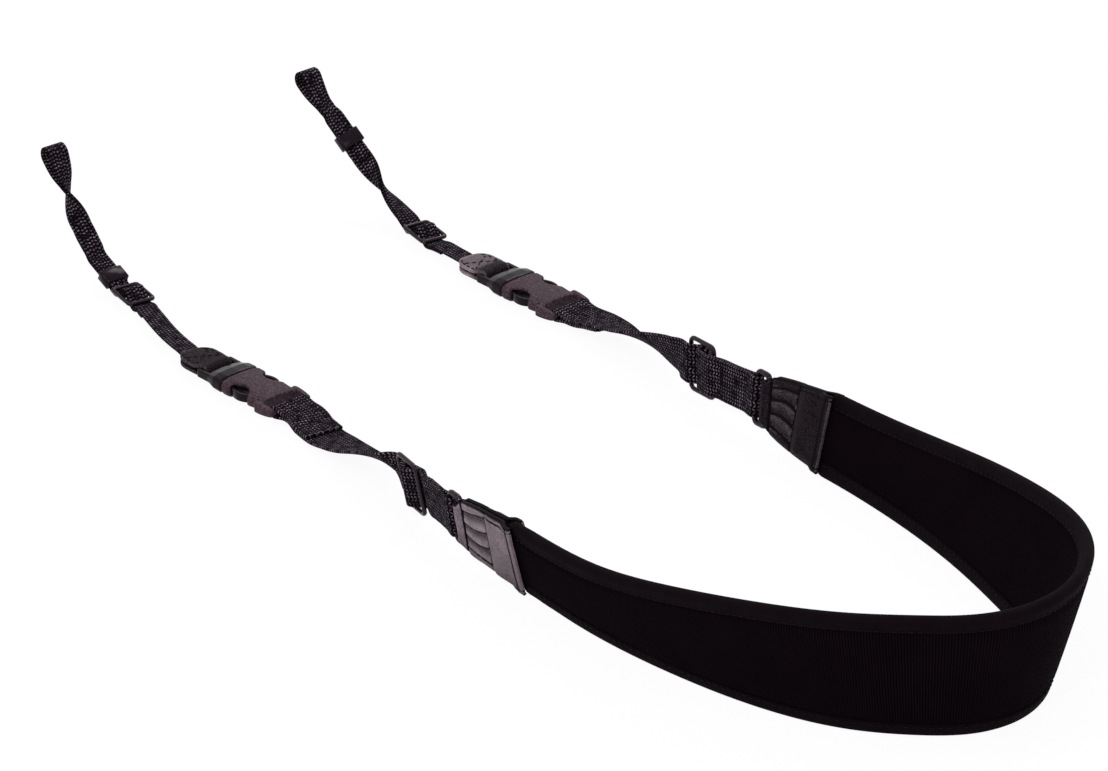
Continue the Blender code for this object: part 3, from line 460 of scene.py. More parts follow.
def sheet_mesh(name, path, width, columns, wear_and_painted_light, relief=None):
    """A flat sheet along a path of station and height, with a UV in metres and a
    wear_and_painted_light
    attribute: worn leather with painted sheen above zero, painted shade below it. The width is a
    function of the station, that attribute a function of the station and the share across, and the
    relief of the row, the station and the share."""
    bm = bmesh.new()
    uv_layer = bm.loops.layers.uv.new(UV_NAME)
    wear_layer = bm.verts.layers.float.new("wear_and_painted_light")
    run = 0.0
    rows, flat = [], {}
    for row, (station, height) in enumerate(path):
        if row:
            run += math.dist(path[row], path[row - 1])
        half = width(station) / 2.0
        line = []
        for column in range(columns + 1):
            share = 2.0 * column / columns - 1.0
            lift = relief(row, station, share) if relief else 0.0
            vertex = bm.verts.new((station, share * half, height + lift))
            vertex[wear_layer] = wear_and_painted_light(station, share)
            flat[vertex] = (run * MM, share * half * MM)
            line.append(vertex)
        rows.append(line)
    for first, second in zip(rows, rows[1:]):
        for a, b, c, d in zip(first, first[1:], second[1:], second):
            face = bm.faces.new((a, d, c, b))
            for loop in face.loops:
                loop[uv_layer].uv = flat[loop.vert]
    return mesh_of(bm, name)


def bent(mesh, owner):
    """Bends a flat mesh onto the line of its owner, and turns it right side out."""
    for vertex in mesh.vertices:
        vertex.co = owner.point(*vertex.co)
    return righted(mesh)


def loft_mesh(name, rings, stations):
    """A closed body through rings of points, with a UV of station and way round, in metres."""
    bm = bmesh.new()
    uv_layer = bm.loops.layers.uv.new(UV_NAME)
    count = len(rings[0])
    around = []
    for ring in rings:
        steps = [math.dist(ring[k], ring[(k + 1) % count]) for k in range(count)]
        around.append(np.concatenate([[0.0], np.cumsum(steps)]) - sum(steps[: count // 2]) / 2.0)
    verts = [[bm.verts.new(point) for point in ring] for ring in rings]
    for i in range(len(rings) - 1):
        for k in range(count):
            j = (k + 1) % count
            face = bm.faces.new((verts[i][k], verts[i][j], verts[i + 1][j], verts[i + 1][k]))
            corners = ((i, k), (i, k + 1), (i + 1, k + 1), (i + 1, k))
            for loop, (row, way) in zip(face.loops, corners):
                loop[uv_layer].uv = (stations[row] * MM, around[row][way])
    bm.faces.new(verts[0])
    bm.faces.new(verts[-1])
    bmesh.ops.recalc_face_normals(bm, faces=bm.faces)
    return mesh_of(bm, name)


# Geometry node trees


class TreeMaker:
    """Adds nodes to a tree: a node's type, its settings and the values or links of its sockets."""

    def __init__(self, tree):
        self.tree = tree

    def node(self, kind, settings=None, output=0, **inputs):
        made = self.tree.nodes.new(kind)
        for key, value in (settings or {}).items():
            setattr(made, key, value)
        for key, value in inputs.items():
            self.feed(self.find(made, key), value)
        return Wire(self, made.outputs[output] if made.outputs else None)

    def feed(self, socket, value):
        """Links a wire to a socket, or sets its value."""
        if isinstance(value, Wire):
            self.tree.links.new(value.socket, socket)
        elif value is not None:
            socket.default_value = value

    @staticmethod
    def find(made, key):
        """A socket by its place, such as _1, or by its name with _ for a space."""
        if key[1:].isdigit():
            return made.inputs[int(key[1:])]
        wanted = key.replace("_", " ").lower()
        for socket in made.inputs:
            if socket.name.lower() == wanted and socket.enabled:
                return socket
        raise KeyError(f"{made.bl_idname} has no socket {wanted}")

    def vector(self, operation, **inputs):
        return self.node("ShaderNodeVectorMath", {"operation": operation}, **inputs)

    def attribute(self, name, kind="FLOAT_VECTOR"):
        """What the mesh carries under a name."""
        return self.node("GeometryNodeInputNamedAttribute", {"data_type": kind}, Name=name)

    def noted(self, mesh, name, value, kind, domain):
        """The mesh with a value stored under a name."""
        settings = {"data_type": kind, "domain": domain}
        inputs = {"Geometry": mesh, "Name": name, "Value": value}
        return self.node("GeometryNodeStoreNamedAttribute", settings, **inputs)

    def dressed(self, mesh, material):
        """Ends the tree with its instances made real and its material set."""
        whole = self.node("GeometryNodeRealizeInstances", Geometry=mesh)
        soft = self.node("GeometryNodeSetShadeSmooth", Geometry=whole)
        ready = self.node("GeometryNodeSetMaterial", Geometry=soft, Material=material)
        self.node("NodeGroupOutput", Mesh=ready)

    def background_seen(self):
        """1 where the camera, a reflection or clear matter looks, and 0 for light alone."""
        rays = self.node("ShaderNodeLightPath")
        seen = rays.out("Is Camera Ray").math("MAXIMUM", rays.out("Is Glossy Ray"))
        return seen.math("MAXIMUM", rays.out("Is Transmission Ray"))


class Wire:
    """An output socket that adds a Math node where it is used in arithmetic."""

    def __init__(self, maker, socket):
        self.maker, self.socket = maker, socket

    def out(self, name):
        return Wire(self.maker, self.socket.node.outputs[name])

    def math(self, operation, *others):
        values = {f"_{i}": value for i, value in enumerate((self, *others))}
        return self.maker.node("ShaderNodeMath", {"operation": operation}, **values)

    def __add__(self, other):
        return self.math("ADD", other)

    __radd__ = __add__

    def __mul__(self, other):
        return self.math("MULTIPLY", other)

    __rmul__ = __mul__

    def __sub__(self, other):
        return self.math("SUBTRACT", other)

    def __rsub__(self, other):
        return self.maker.node("ShaderNodeMath", {"operation": "SUBTRACT"}, _0=other, _1=self)

    def __truediv__(self, other):
        return self.math("DIVIDE", other)

    def __pow__(self, other):
        return self.math("POWER", other)

    def limited(self):
        return self.math("MINIMUM", 1.0).math("MAXIMUM", 0.0)

    def above(self, level, gain):
        """How far the value is over a level, times a gain, from 0 to 1."""
        return ((self - level) * gain).limited()

    def wave(self):
        """The value's sine, from 0 to 1."""
        return self.math("SINE") * 0.5 + 0.5


def new_tree(name, sockets):
    """A geometry node tree with a mesh in, a mesh out and named inputs between."""
    tree = bpy.data.node_groups.new(name, "GeometryNodeTree")
    tree.interface.new_socket("Mesh", in_out="INPUT", socket_type="NodeSocketGeometry")
    for label, kind in sockets:
        tree.interface.new_socket(label, in_out="INPUT", socket_type=f"NodeSocket{kind}")
    tree.interface.new_socket("Mesh", in_out="OUTPUT", socket_type="NodeSocketGeometry")
    return tree, TreeMaker(tree)


def with_tree(piece, tree, values):
    """Sets a tree on a piece with its inputs, and gives the mesh that it makes."""
    step = piece.modifiers.new(tree.name, "NODES")
    step.node_group = tree
    for item in tree.interface.items_tree:
        if item.in_out == "INPUT" and item.name in values:
            step[item.identifier] = values[item.name]
    return baked(piece)


def ribbon_tree():
    """Webbing: a band of woven tape laid along a path of points, as wide as its input says."""
    sockets = (("Width", "Float"), ("Columns", "Int"), ("Finish", "Material"))
    tree, make = new_tree("webbing_band", sockets)
    entry = make.node("NodeGroupInput")
    names = ("Mesh", "Width", "Columns", "Finish")
    path, width, columns, material = (entry.out(name) for name in names)
    size = make.node("GeometryNodeAttributeDomainSize", {"component": "MESH"}, Geometry=path)
    rows = size.out("Point Count")
    grid = make.node(
        "GeometryNodeMeshGrid", Size_X=1.0, Size_Y=1.0, Vertices_X=rows, Vertices_Y=columns
    )
    index = make.node("GeometryNodeInputIndex")
    row = (index / columns).math("FLOOR")
    share = (index - row * columns) / (columns - 1.0) * 2.0 - 1.0

    def on_path(name, kind="FLOAT_VECTOR"):
        settings = {"data_type": kind, "domain": "POINT"}
        inputs = {"Geometry": path, "Value": make.attribute(name, kind), "Index": row}
        return make.node("GeometryNodeSampleIndex", settings, **inputs)

    half = share * width * 0.5
    sideways = make.vector("SCALE", Vector=on_path("across"), Scale=half)
    place = make.vector("ADD", _0=on_path("position"), _1=sideways)
    laid = make.node("GeometryNodeSetPosition", Geometry=grid, Position=place)
    flat = make.node("ShaderNodeCombineXYZ", X=on_path("run", "FLOAT"), Y=half)
    noted = make.noted(laid, "flat", flat, "FLOAT_VECTOR", "POINT")
    mapped = make.noted(noted, UV_NAME, make.attribute("flat"), "FLOAT2", "CORNER")
    make.dressed(mapped, material)
    return tree


def stitch_tree():
    """Sewing: one rounded thread at each point, laid along its own direction."""
    sockets = (("Stitch Length", "Float"), ("Thread", "Float"), ("Finish", "Material"))
    tree, make = new_tree("row_of_stitches", sockets)
    entry = make.node("NodeGroupInput")
    names = ("Mesh", "Stitch Length", "Thread", "Finish")
    points, long, thick, material = (entry.out(name) for name in names)
    bead = make.node("GeometryNodeMeshUVSphere", Segments=8, Rings=5, Radius=0.5)
    size = make.node("ShaderNodeCombineXYZ", X=long, Y=thick, Z=thick)
    drawn = make.node("GeometryNodeTransform", Geometry=bead, Scale=size)
    align = "FunctionNodeAlignRotationToVector"
    turned = make.node(align, {"axis": "X"}, Vector=make.attribute("along"))
    turned = make.node(
        align, {"axis": "Z", "pivot_axis": "X"}, Rotation=turned, Vector=make.attribute("outward")
    )
    inputs = {"Points": points, "Instance": drawn, "Rotation": turned}
    make.dressed(make.node("GeometryNodeInstanceOnPoints", **inputs), material)
    return tree


def point_mesh(name, points, vectors, numbers=None, joined=False):
    """A mesh of loose or joined points that carries vectors and numbers for a node tree."""
    mesh = bpy.data.meshes.new(name)
    edges = [(i, i + 1) for i in range(len(points) - 1)] if joined else []
    mesh.from_pydata([tuple(point) for point in points], edges, [])
    for label, values in vectors.items():
        layer = mesh.attributes.new(label, "FLOAT_VECTOR", "POINT")
        layer.data.foreach_set("vector", np.array([tuple(v) for v in values], float).ravel())
    for label, values in (numbers or {}).items():
        layer = mesh.attributes.new(label, "FLOAT", "POINT")
        layer.data.foreach_set("value", np.array(values, float))
    return mesh


# Finishes


# Tint of the light that black dyed yarn, nylon and leather throw back
SHEEN = (1.0, 0.72, 0.92, 1.0)
WHITE = (1.0, 1.0, 1.0, 1.0)
LINT = (0.062, 0.036, 0.066)

# Repeats of the knit, the tape's twill, the webbing's yarns and the thread's ply, in metres
WALE = 0.00125
LOOP = 0.0011
TWILL = 0.0009
TWILL_CORD = 0.0014
YARN = 0.0018
YARN_COLUMN = 0.00175
PLY = 0.0007


def shade(colour, factor, lift=0.0):
    """A colour made darker or paler."""
    return tuple(min(c * factor + lift, 1.0) for c in colour)


class Finish(TreeMaker):
    """A material's node tree, with its Principled shader."""

    def __init__(self, name, preview):
        self.material = bpy.data.materials.new(name)
        self.material.use_nodes = True
        self.material.diffuse_color = (*preview, 1.0)
        super().__init__(self.material.node_tree)
        self.shader = self.tree.nodes["Principled BSDF"]

    def flat(self):
        """The surface's own coordinates, in metres along and across."""
        uv = self.node("ShaderNodeUVMap", {"uv_map": UV_NAME})
        split = self.node("ShaderNodeSeparateXYZ", Vector=uv)
        return uv, split.out("X"), split.out("Y")

    def space(self):
        """The object's own coordinates."""
        return self.node("ShaderNodeTexCoord", output=3)

    def noise(self, vector, scale, detail=3.0, roughness=0.5):
        inputs = {"Vector": vector, "Scale": scale, "Detail": detail, "Roughness": roughness}
        return self.node("ShaderNodeTexNoise", **inputs)

    def blend(self, share, first, second):
        """A colour between two colours."""
        colours = [(*c, 1.0) if isinstance(c, tuple) else c for c in (first, second)]
        settings = {"data_type": "RGBA", "clamp_factor": True}
        inputs = {"_0": share, "_6": colours[0], "_7": colours[1]}
        return self.node("ShaderNodeMix", settings, output=2, **inputs)

    def bump(self, height, distance, strength, under=None):
        inputs = {"Height": height, "Distance": distance, "Strength": strength, "Normal": under}
        return self.node("ShaderNodeBump", **inputs)

    def dress(self, tone, roughness, shine, normal=None, tint=SHEEN):
        """Feeds the shader, and gives the material."""
        inputs = self.shader.inputs
        self.feed(inputs["Base Color"], tone)
        self.feed(inputs["Roughness"], roughness)
        self.feed(inputs["Specular IOR Level"], shine)
        self.feed(inputs["Specular Tint"], tint)
        self.feed(inputs["Normal"], normal)
        return self.material


def jersey_finish(colours):
    """Fine ribbed knit over foam: upright wales, small loops, a little lint."""
    base = tuple(colours.jersey)
    made = Finish("ribbed_jersey", base)
    uv, along, across = made.flat()
    turn = along * (math.pi / WALE)
    wale = turn.math("SINE").math("ABSOLUTE")
    lean = turn.math("COSINE").math("ABSOLUTE") * 0.9
    loop = (across * (math.tau / LOOP) + lean * 2.0).wave()
    height = wale * 0.65 + wale * loop * 0.35
    mottle = made.noise(uv, 45.0, 4.0, 0.6)
    lint = (made.noise(uv, 900.0, 2.0, 0.7) - 0.66).limited() * 4.0
    lit = (height ** 2.0) * (mottle * 0.9 + 0.2)
    tone = made.blend(lit, shade(base, 0.4), shade(base, 3.6))
    tone = made.blend((lint * 0.3).limited(), tone, LINT)
    return made.dress(tone, 0.95 - mottle * 0.06, 0.012, made.bump(height, 0.00035, 0.9))


def tape_finish(colours):
    """Binding tape: a fine diagonal twill."""
    base = tuple(colours.binding)
    made = Finish("binding_tape", base)
    uv, along, across = made.flat()
    twill = ((along + across * 0.8) * (math.tau / TWILL)).wave()
    cord = ((along - across * 1.6) * (math.tau / TWILL_CORD)).wave()
    mottle = made.noise(uv, 120.0, 4.0, 0.6)
    height = twill * 0.7 + cord * 0.3
    tone = made.blend(height * mottle * 0.9, shade(base, 0.5), shade(base, 3.4))
    return made.dress(tone, 0.86 - mottle * 0.1, 0.03, made.bump(height, 0.00018, 0.8))


def leather_finish(colours):
    """Grained leather: paler where pleats and edges are worn and where sheen is painted on, and
    darker in its seams, where shade is painted.
    """
    base = tuple(colours.leather)
    made = Finish("grained_leather", base)
    place = made.space()
    warp = made.noise(place, 260.0, 2.0).out("Color")
    moved = made.vector("MULTIPLY_ADD", _0=warp, _1=(0.0009, 0.0009, 0.0009), _2=place)
    settings = {"feature": "DISTANCE_TO_EDGE"}
    cells = made.node("ShaderNodeTexVoronoi", settings, Vector=moved, Scale=950.0)
    pebble = (cells * 5.0).limited()
    pores = made.noise(place, 2600.0, 2.0, 0.6)
    mottle = made.noise(place, 70.0, 5.0, 0.6)
    wear_and_painted_light = made.node("ShaderNodeAttribute", {"attribute_name": "wear_and_painted_light"}, output=2)
    patchy = mottle * 1.3 + pores * 2.4 - 1.1
    # Worn leather with painted sheen, from the attribute above zero and the grain
    rubbed_and_sheen = (wear_and_painted_light * patchy + (pebble - 0.75) * mottle * 0.4).limited()
    tone = made.blend(pebble * 0.6 + mottle * 0.5, shade(base, 0.35), base)
    tone = made.blend(rubbed_and_sheen, tone, tuple(colours.leather_worn_and_sheen))
    # Painted shade, near black in the seams and between pleats, from the attribute below zero
    tone = made.blend((wear_and_painted_light * -1.0).limited(), tone, shade(base, 0.12))
    creases = made.bump(mottle, 0.0008, 0.3)
    grain = made.bump(pebble + pores * 0.25, 0.00016, 0.75, creases)
    return made.dress(tone, 0.62 - rubbed_and_sheen * 0.12 - mottle * 0.08, 0.06, grain)


def webbing_finish(name, colours, lean, stagger):
    """Black woven tape: columns of small yarns whose tops catch the light here and there. The
    yarns lean in turns to either side, and every other column is staggered, both in repeats."""
    base = tuple(colours.webbing)
    made = Finish(name, base)
    uv, along, across = made.flat()
    sway = made.noise(uv, 260.0, 2.0, 0.5)
    column = (across / YARN_COLUMN).math("FLOOR")
    odd = column.math("MODULO", 2.0).math("ABSOLUTE")
    slant = across / YARN_COLUMN - column
    phase = along / YARN + (odd * 2.0 - 1.0) * slant * lean + odd * stagger + sway * 0.4
    crown = (slant * math.pi).math("SINE")
    height = ((phase * math.tau).wave() ** 0.8) * (crown ** 0.6)
    fibre = made.noise(uv, 2600.0, 3.0, 0.7)
    caught = made.noise(uv, 210.0, 4.0, 0.65).above(0.38, 3.2)
    spark = height.above(0.52, 4.0) * fibre.above(0.36, 3.4) * caught
    tone = made.blend(height, shade(base, 0.4), base)
    tone = made.blend(spark, tone, tuple(colours.webbing_glint))
    bump = made.bump(height + fibre * 0.1, 0.0004, 0.9)
    return made.dress(tone, 0.78 - spark * 0.2, 0.03, bump)


def plastic_finish(name, colour, roughness, grain, shine, worn=0.0, speckle=2600.0):
    """Moulded nylon: a fine eroded texture with faint scuffs."""
    colour = tuple(colour)
    made = Finish(name, colour)
    place = made.space()
    fine = made.noise(place, speckle, 2.0, 0.6)
    cloud = made.noise(place, 190.0, 4.0, 0.55)
    scuff = made.noise(place, 1100.0, 6.0, 0.8)
    mark = scuff.above(0.57, 6.0) * cloud
    share = fine.above(0.47, 5.0) * 0.75 + cloud * 0.25
    tone = made.blend(share, shade(colour, 0.3), shade(colour, 1.9))
    tone = made.blend(mark * (0.25 + worn), tone, shade(colour, 2.6, 0.01))
    dull = fine * 0.12 + cloud * 0.16 + (roughness - 0.12)
    return made.dress(tone, dull, shine, made.bump(fine + scuff * 0.4, 0.00012, grain))


def thread_finish(name, colour):
    """Twisted sewing thread."""
    colour = tuple(colour)
    made = Finish(name, colour)
    split = made.node("ShaderNodeSeparateXYZ", Vector=made.space())
    ply = ((split.out("X") + split.out("Y") + split.out("Z")) * (math.tau / PLY)).wave()
    tone = made.blend(ply, shade(colour, 0.5), shade(colour, 1.5))
    return made.dress(tone, 0.65 - ply * 0.1, 0.05, made.bump(ply, 0.0001, 0.6), WHITE)


# What a user may change


def tint(label, text, value):
    limits = {"min": 0.0, "max": 1.0}
    return FloatVectorProperty(
        name=label, description=text, subtype="COLOR", size=3, default=value, **limits
    )


def length(label, text, value):
    kind = {"unit": "LENGTH", "subtype": "DISTANCE"}
    return FloatProperty(name=label, description=text, default=value, min=0.0, **kind)


class StrapColours(PropertyGroup):
    """Colours of the strap's finishes."""

    jersey: tint("Jersey", "Knit over the pad's foam", (0.0030, 0.0016, 0.0027))
    binding: tint("Binding", "Tape round the pad's edges", (0.0034, 0.0020, 0.0031))
    leather: tint("Leather", "End tabs and patches", (0.0038, 0.0016, 0.0033))
    # Also the colour of the sheen painted on the leather
    leather_worn_and_sheen: tint("Worn leather and sheen", "Leather on ridges and edges", (0.300, 0.235, 0.268))
    webbing: tint("Webbing", "Woven tape", (0.0040, 0.0022, 0.0040))
    webbing_glint: tint("Webbing glint", "Tops of the woven yarns", (0.430, 0.335, 0.445))
    plastic: tint("Plastic", "Sockets of the buckles", (0.047, 0.029, 0.037))
    bars: tint("Bars", "Rings, sliders and tri-glides", (0.0060, 0.0038, 0.0054))
    gloss: tint("Polished plastic", "Plugs and keepers", (0.0080, 0.0050, 0.0070))
    thread: tint("Thread", "Sewing thread", (0.0050, 0.0034, 0.0048))
    pale_thread: tint("Cross seam", "Sewing thread of the tabs' cross seams", (0.105, 0.085, 0.112))
    floor: tint("Floor", "Studio floor", (0.92, 0.92, 0.92))


class StrapSizes(PropertyGroup):
    """Sizes of the strap's fine detail."""

    stitch: length("Stitch", "Length of one stitch", 0.0026)
    stitch_gap: length("Stitch gap", "Space between two stitches", 0.0012)
    thread: length("Thread", "Thickness of the sewing thread", 0.00055)
    moulded_edge: length("Moulded edge", "Rounding of the plastic's edges", 0.00022)
    pleat: length("Pleat", "Height of the pleats of the leather tabs", 0.0013)
    columns: IntProperty(
        name="Webbing columns", description="Points across the webbing", default=9, min=3, max=40
    )


FINISHES = {}


def finish(name):
    """A finish of the strap, made once."""
    colours = bpy.context.scene.strap_colours
    polished = partial(plastic_finish, grain=0.05)
    makers = {
        "jersey": partial(jersey_finish, colours),
        "binding": partial(tape_finish, colours),
        "leather": partial(leather_finish, colours),
        "wide_webbing": partial(webbing_finish, "wide_woven_webbing", colours, 0.6, 0.5),
        "narrow_webbing": partial(webbing_finish, "narrow_woven_webbing", colours, 0.14, 0.12),
        "plastic": partial(
            plastic_finish, "moulded_plastic", colours.plastic, 0.55, 0.8, 0.12, 0.3, 1000.0
        ),
        "bars": partial(polished, "rod_plastic", colours.bars, 0.12, shine=0.24),
        "gloss": partial(polished, "polished_plastic", colours.gloss, 0.16, shine=0.09),
        "thread": partial(thread_finish, "sewing_thread", colours.thread),
        "pale_thread": partial(thread_finish, "pale_sewing_thread", colours.pale_thread),
    }
    if name not in FINISHES:
        FINISHES[name] = makers[name]()
    return FINISHES[name]


# Pad and its bound edges

# The stitches draw the binding in at this pitch
DRAWN_PITCH = 3.8


def pad_stations(step):
    half = PAD_SHOWN / 2.0 + PAD_TUCK
    count = round(2.0 * half / step)
    return [half * (2.0 * k / count - 1.0) for k in range(count + 1)]


def pad_ring(station):
    """The foam's section under its knit: crowned, and thin where the binding grips it."""
    half_width = tucked_width(station) / 2.0
    pinch = pad_pinch(station)
    edge = half_width - BINDING_THICKNESS - GAP
    thin = pinch * BINDING_SHELL / 2.0 - BINDING_THICKNESS - GAP
    thick = pinch * PAD_THICKNESS / 2.0
    side = []
    for k in range(17):
        y = -edge + 2.0 * edge * k / 16.0
        y = math.copysign(edge * (abs(y) / edge) ** 0.72, y) if y else 0.0
        grip = smooth((half_width - BINDING_WIDTH + 0.9 - abs(y)) / 2.6)
        crown = 0.35 * (1.0 - (y / edge) ** 2)
        side.append((y, thin + (thick + crown - thin - 0.1) * grip))
    side[0] = (-edge, thin - 0.5)
    side[-1] = (edge, thin - 0.5)
    return side + [(y, -n) for y, n in reversed(side)]


def tape_ring(station, edge):
    """Tape folded round an edge of the pad, drawn in a little at each stitch."""
    tip = tucked_width(station) / 2.0
    outer, wall = pad_pinch(station) * BINDING_SHELL / 2.0, BINDING_THICKNESS
    leg = tip - BINDING_WIDTH
    inner = outer - wall
    drawn = 0.16 * math.sin(station * math.tau / DRAWN_PITCH)
    pucker = 0.3 * (drawn + 0.12 * math.sin(station * 0.31 + edge))
    top = [
        (leg, outer - 0.55),
        (leg + 0.35, outer - 0.12),
        (leg + 0.9, outer - 0.28 + pucker),
        (leg + 1.5, outer - 0.1),
        (leg + 2.4, outer + 0.05 + pucker),
        (tip - outer, outer),
    ]
    turns = [math.radians(12.0 * k) for k in range(1, 15)]
    fold = [(tip - outer + outer * math.sin(a), outer * math.cos(a)) for a in turns]
    outside = top + fold + [(y, -n) for y, n in reversed(top)]
    corner = 0.6
    inside = [
        (leg, -inner),
        (tip - wall - corner, -inner),
        (tip - wall, -inner + corner),
        (tip - wall, inner - corner),
        (tip - wall - corner, inner),
        (leg, inner),
    ]
    return [(edge * y, n) for y, n in outside + inside]


class STRAP_OT_neck_pad(Operator):
    """Makes the foam pad under its ribbed knit"""

    bl_idname = "strap.neck_pad"
    bl_label = "Neck pad"

    def execute(self, context):
        stations = pad_stations(3.0)
        rings = [[LINE.point(s, y, n) for y, n in pad_ring(s)] for s in stations]
        mesh = loft_mesh("knit_pad", rings, stations)
        pad = finished("knit_pad", mesh, finish("jersey"), "strap", sharp=70.0)
        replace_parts(pad, "neck_pad")
        return {"FINISHED"}


class STRAP_OT_bindings(Operator):
    """Makes the tapes folded round the pad's two long edges"""

    bl_idname = "strap.bindings"
    bl_label = "Edge bindings"

    def execute(self, context):
        for place, edge in (("upper", 1), ("lower", -1)):
            stations = pad_stations(1.9)
            rings = []
            for station in stations:
                ring = [LINE.point(station, y, n) for y, n in tape_ring(station, edge)]
                rings.append([Vector((p.x, p.y, max(p.z, 0.0))) for p in ring])
            mesh = loft_mesh(f"edge_tape_{place}", rings, stations)
            tape = finished(f"edge_tape_{place}", mesh, finish("binding"), "strap")
            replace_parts(tape, f"binding_{place}")
        return {"FINISHED"}


# Leather tabs


OVER_PAD = PAD_PINCH * max(PAD_THICKNESS, BINDING_SHELL) / 2.0 + GAP + TAB_LEATHER / 2.0
TOGETHER = TAB_LEATHER / 2.0 + GAP / 2.0

# Along the tab, from its open edge: the seam behind it
OPEN_SEAM = 2.6
# From the tucked pad's end: where the leaves close on each other, the run in which they do, the
# pleats' end and the cross seam
CLOSE_START = 0.5
CLOSE_RUN = 5.0
PLEATS_END = 5.4
CROSS_SEAM = 6.4
# Before the ring: where the leaves part round it, and the pleats' start
RING_RUN = 4.5
PLEATS_START = 5.0

# Where the sewn valleys between the pleats run, as shares across, and a valley's half width
PLEAT_EDGES = (-0.80, -0.30, 0.22, 0.76)
VALLEY = 0.065

# How pale each side's leather is made: on the pleats' ridges worn with painted sheen, on the flat
# leather at the tab's ends painted sheen alone, far paler on the left tab
TAB_WEAR_AND_SHEEN = {"left": (0.92, 0.78), "right": (0.20, 0.0)}


def tab_width(branch, station):
    """The webbing's width round the ring, then wider and wider towards the pad."""
    from_ring = branch.ring - station
    widening = smooth((from_ring - 0.5) / 5.0)
    return WIDE_WIDTH + (leaf_width(from_ring) - WIDE_WIDTH) * widening


def tab_stops(branch):
    """Over the pad's outer face to the ring, round it and back over the inner face."""
    seat = RING_BAR / 2.0 + GAP + TAB_LEATHER / 2.0
    part = branch.seam + PAD_TUCK + CLOSE_START
    closed = part + CLOSE_RUN
    return [
        (branch.seam, OVER_PAD, 0, 0),
        (part, OVER_PAD, 0, 0),
        (closed, TOGETHER, 0, 0),
        (branch.ring - RING_RUN, TOGETHER, 0, 0),
        (branch.ring, 0.0, seat, -1),
        (branch.ring - RING_RUN, -TOGETHER, 0, 0),
        (closed, -TOGETHER, 0, 0),
        (part, -OVER_PAD, 0, 0),
        (branch.seam, -OVER_PAD, 0, 0),
    ]


def leaf_height(branch, station):
    """How far a leaf's middle lies off the strap's middle layer, away from its long edges."""
    share = limited((station - branch.seam - PAD_TUCK - CLOSE_START) / CLOSE_RUN)
    return OVER_PAD + (TOGETHER - OVER_PAD) * share


def leaf_pinch(branch, station, share):
    """How far a leaf comes down at its long edges, where the two leaves close on each other."""
    edge = limited((abs(share) - 0.78) / 0.2) ** 1.4
    open_end = smooth((station - branch.seam - 3.0) / 6.0)
    return (leaf_height(branch, station) - TOGETHER) * edge * open_end


def pleat_seam(edge, along):
    """A valley's share across: it bows, and draws in towards the ring."""
    bow = 0.16 * math.sin(math.pi * along) * (1.0 - abs(edge))
    return edge * (0.86 + 0.14 * along) + bow


def pleat_rise(share, along):
    """The pleats' height, which lie over each other like shingles, and how near a valley is."""
    seams = [pleat_seam(edge, along) for edge in PLEAT_EDGES]
    valley = max(near(share, seam, VALLEY) for seam in seams)
    for low, high in zip(seams, seams[1:]):
        if low <= share <= high:
            t = (share - low) / (high - low)
            return 0.30 + 0.70 * t - 0.5 * valley, valley
    return 0.85 - 0.55 * valley, valley


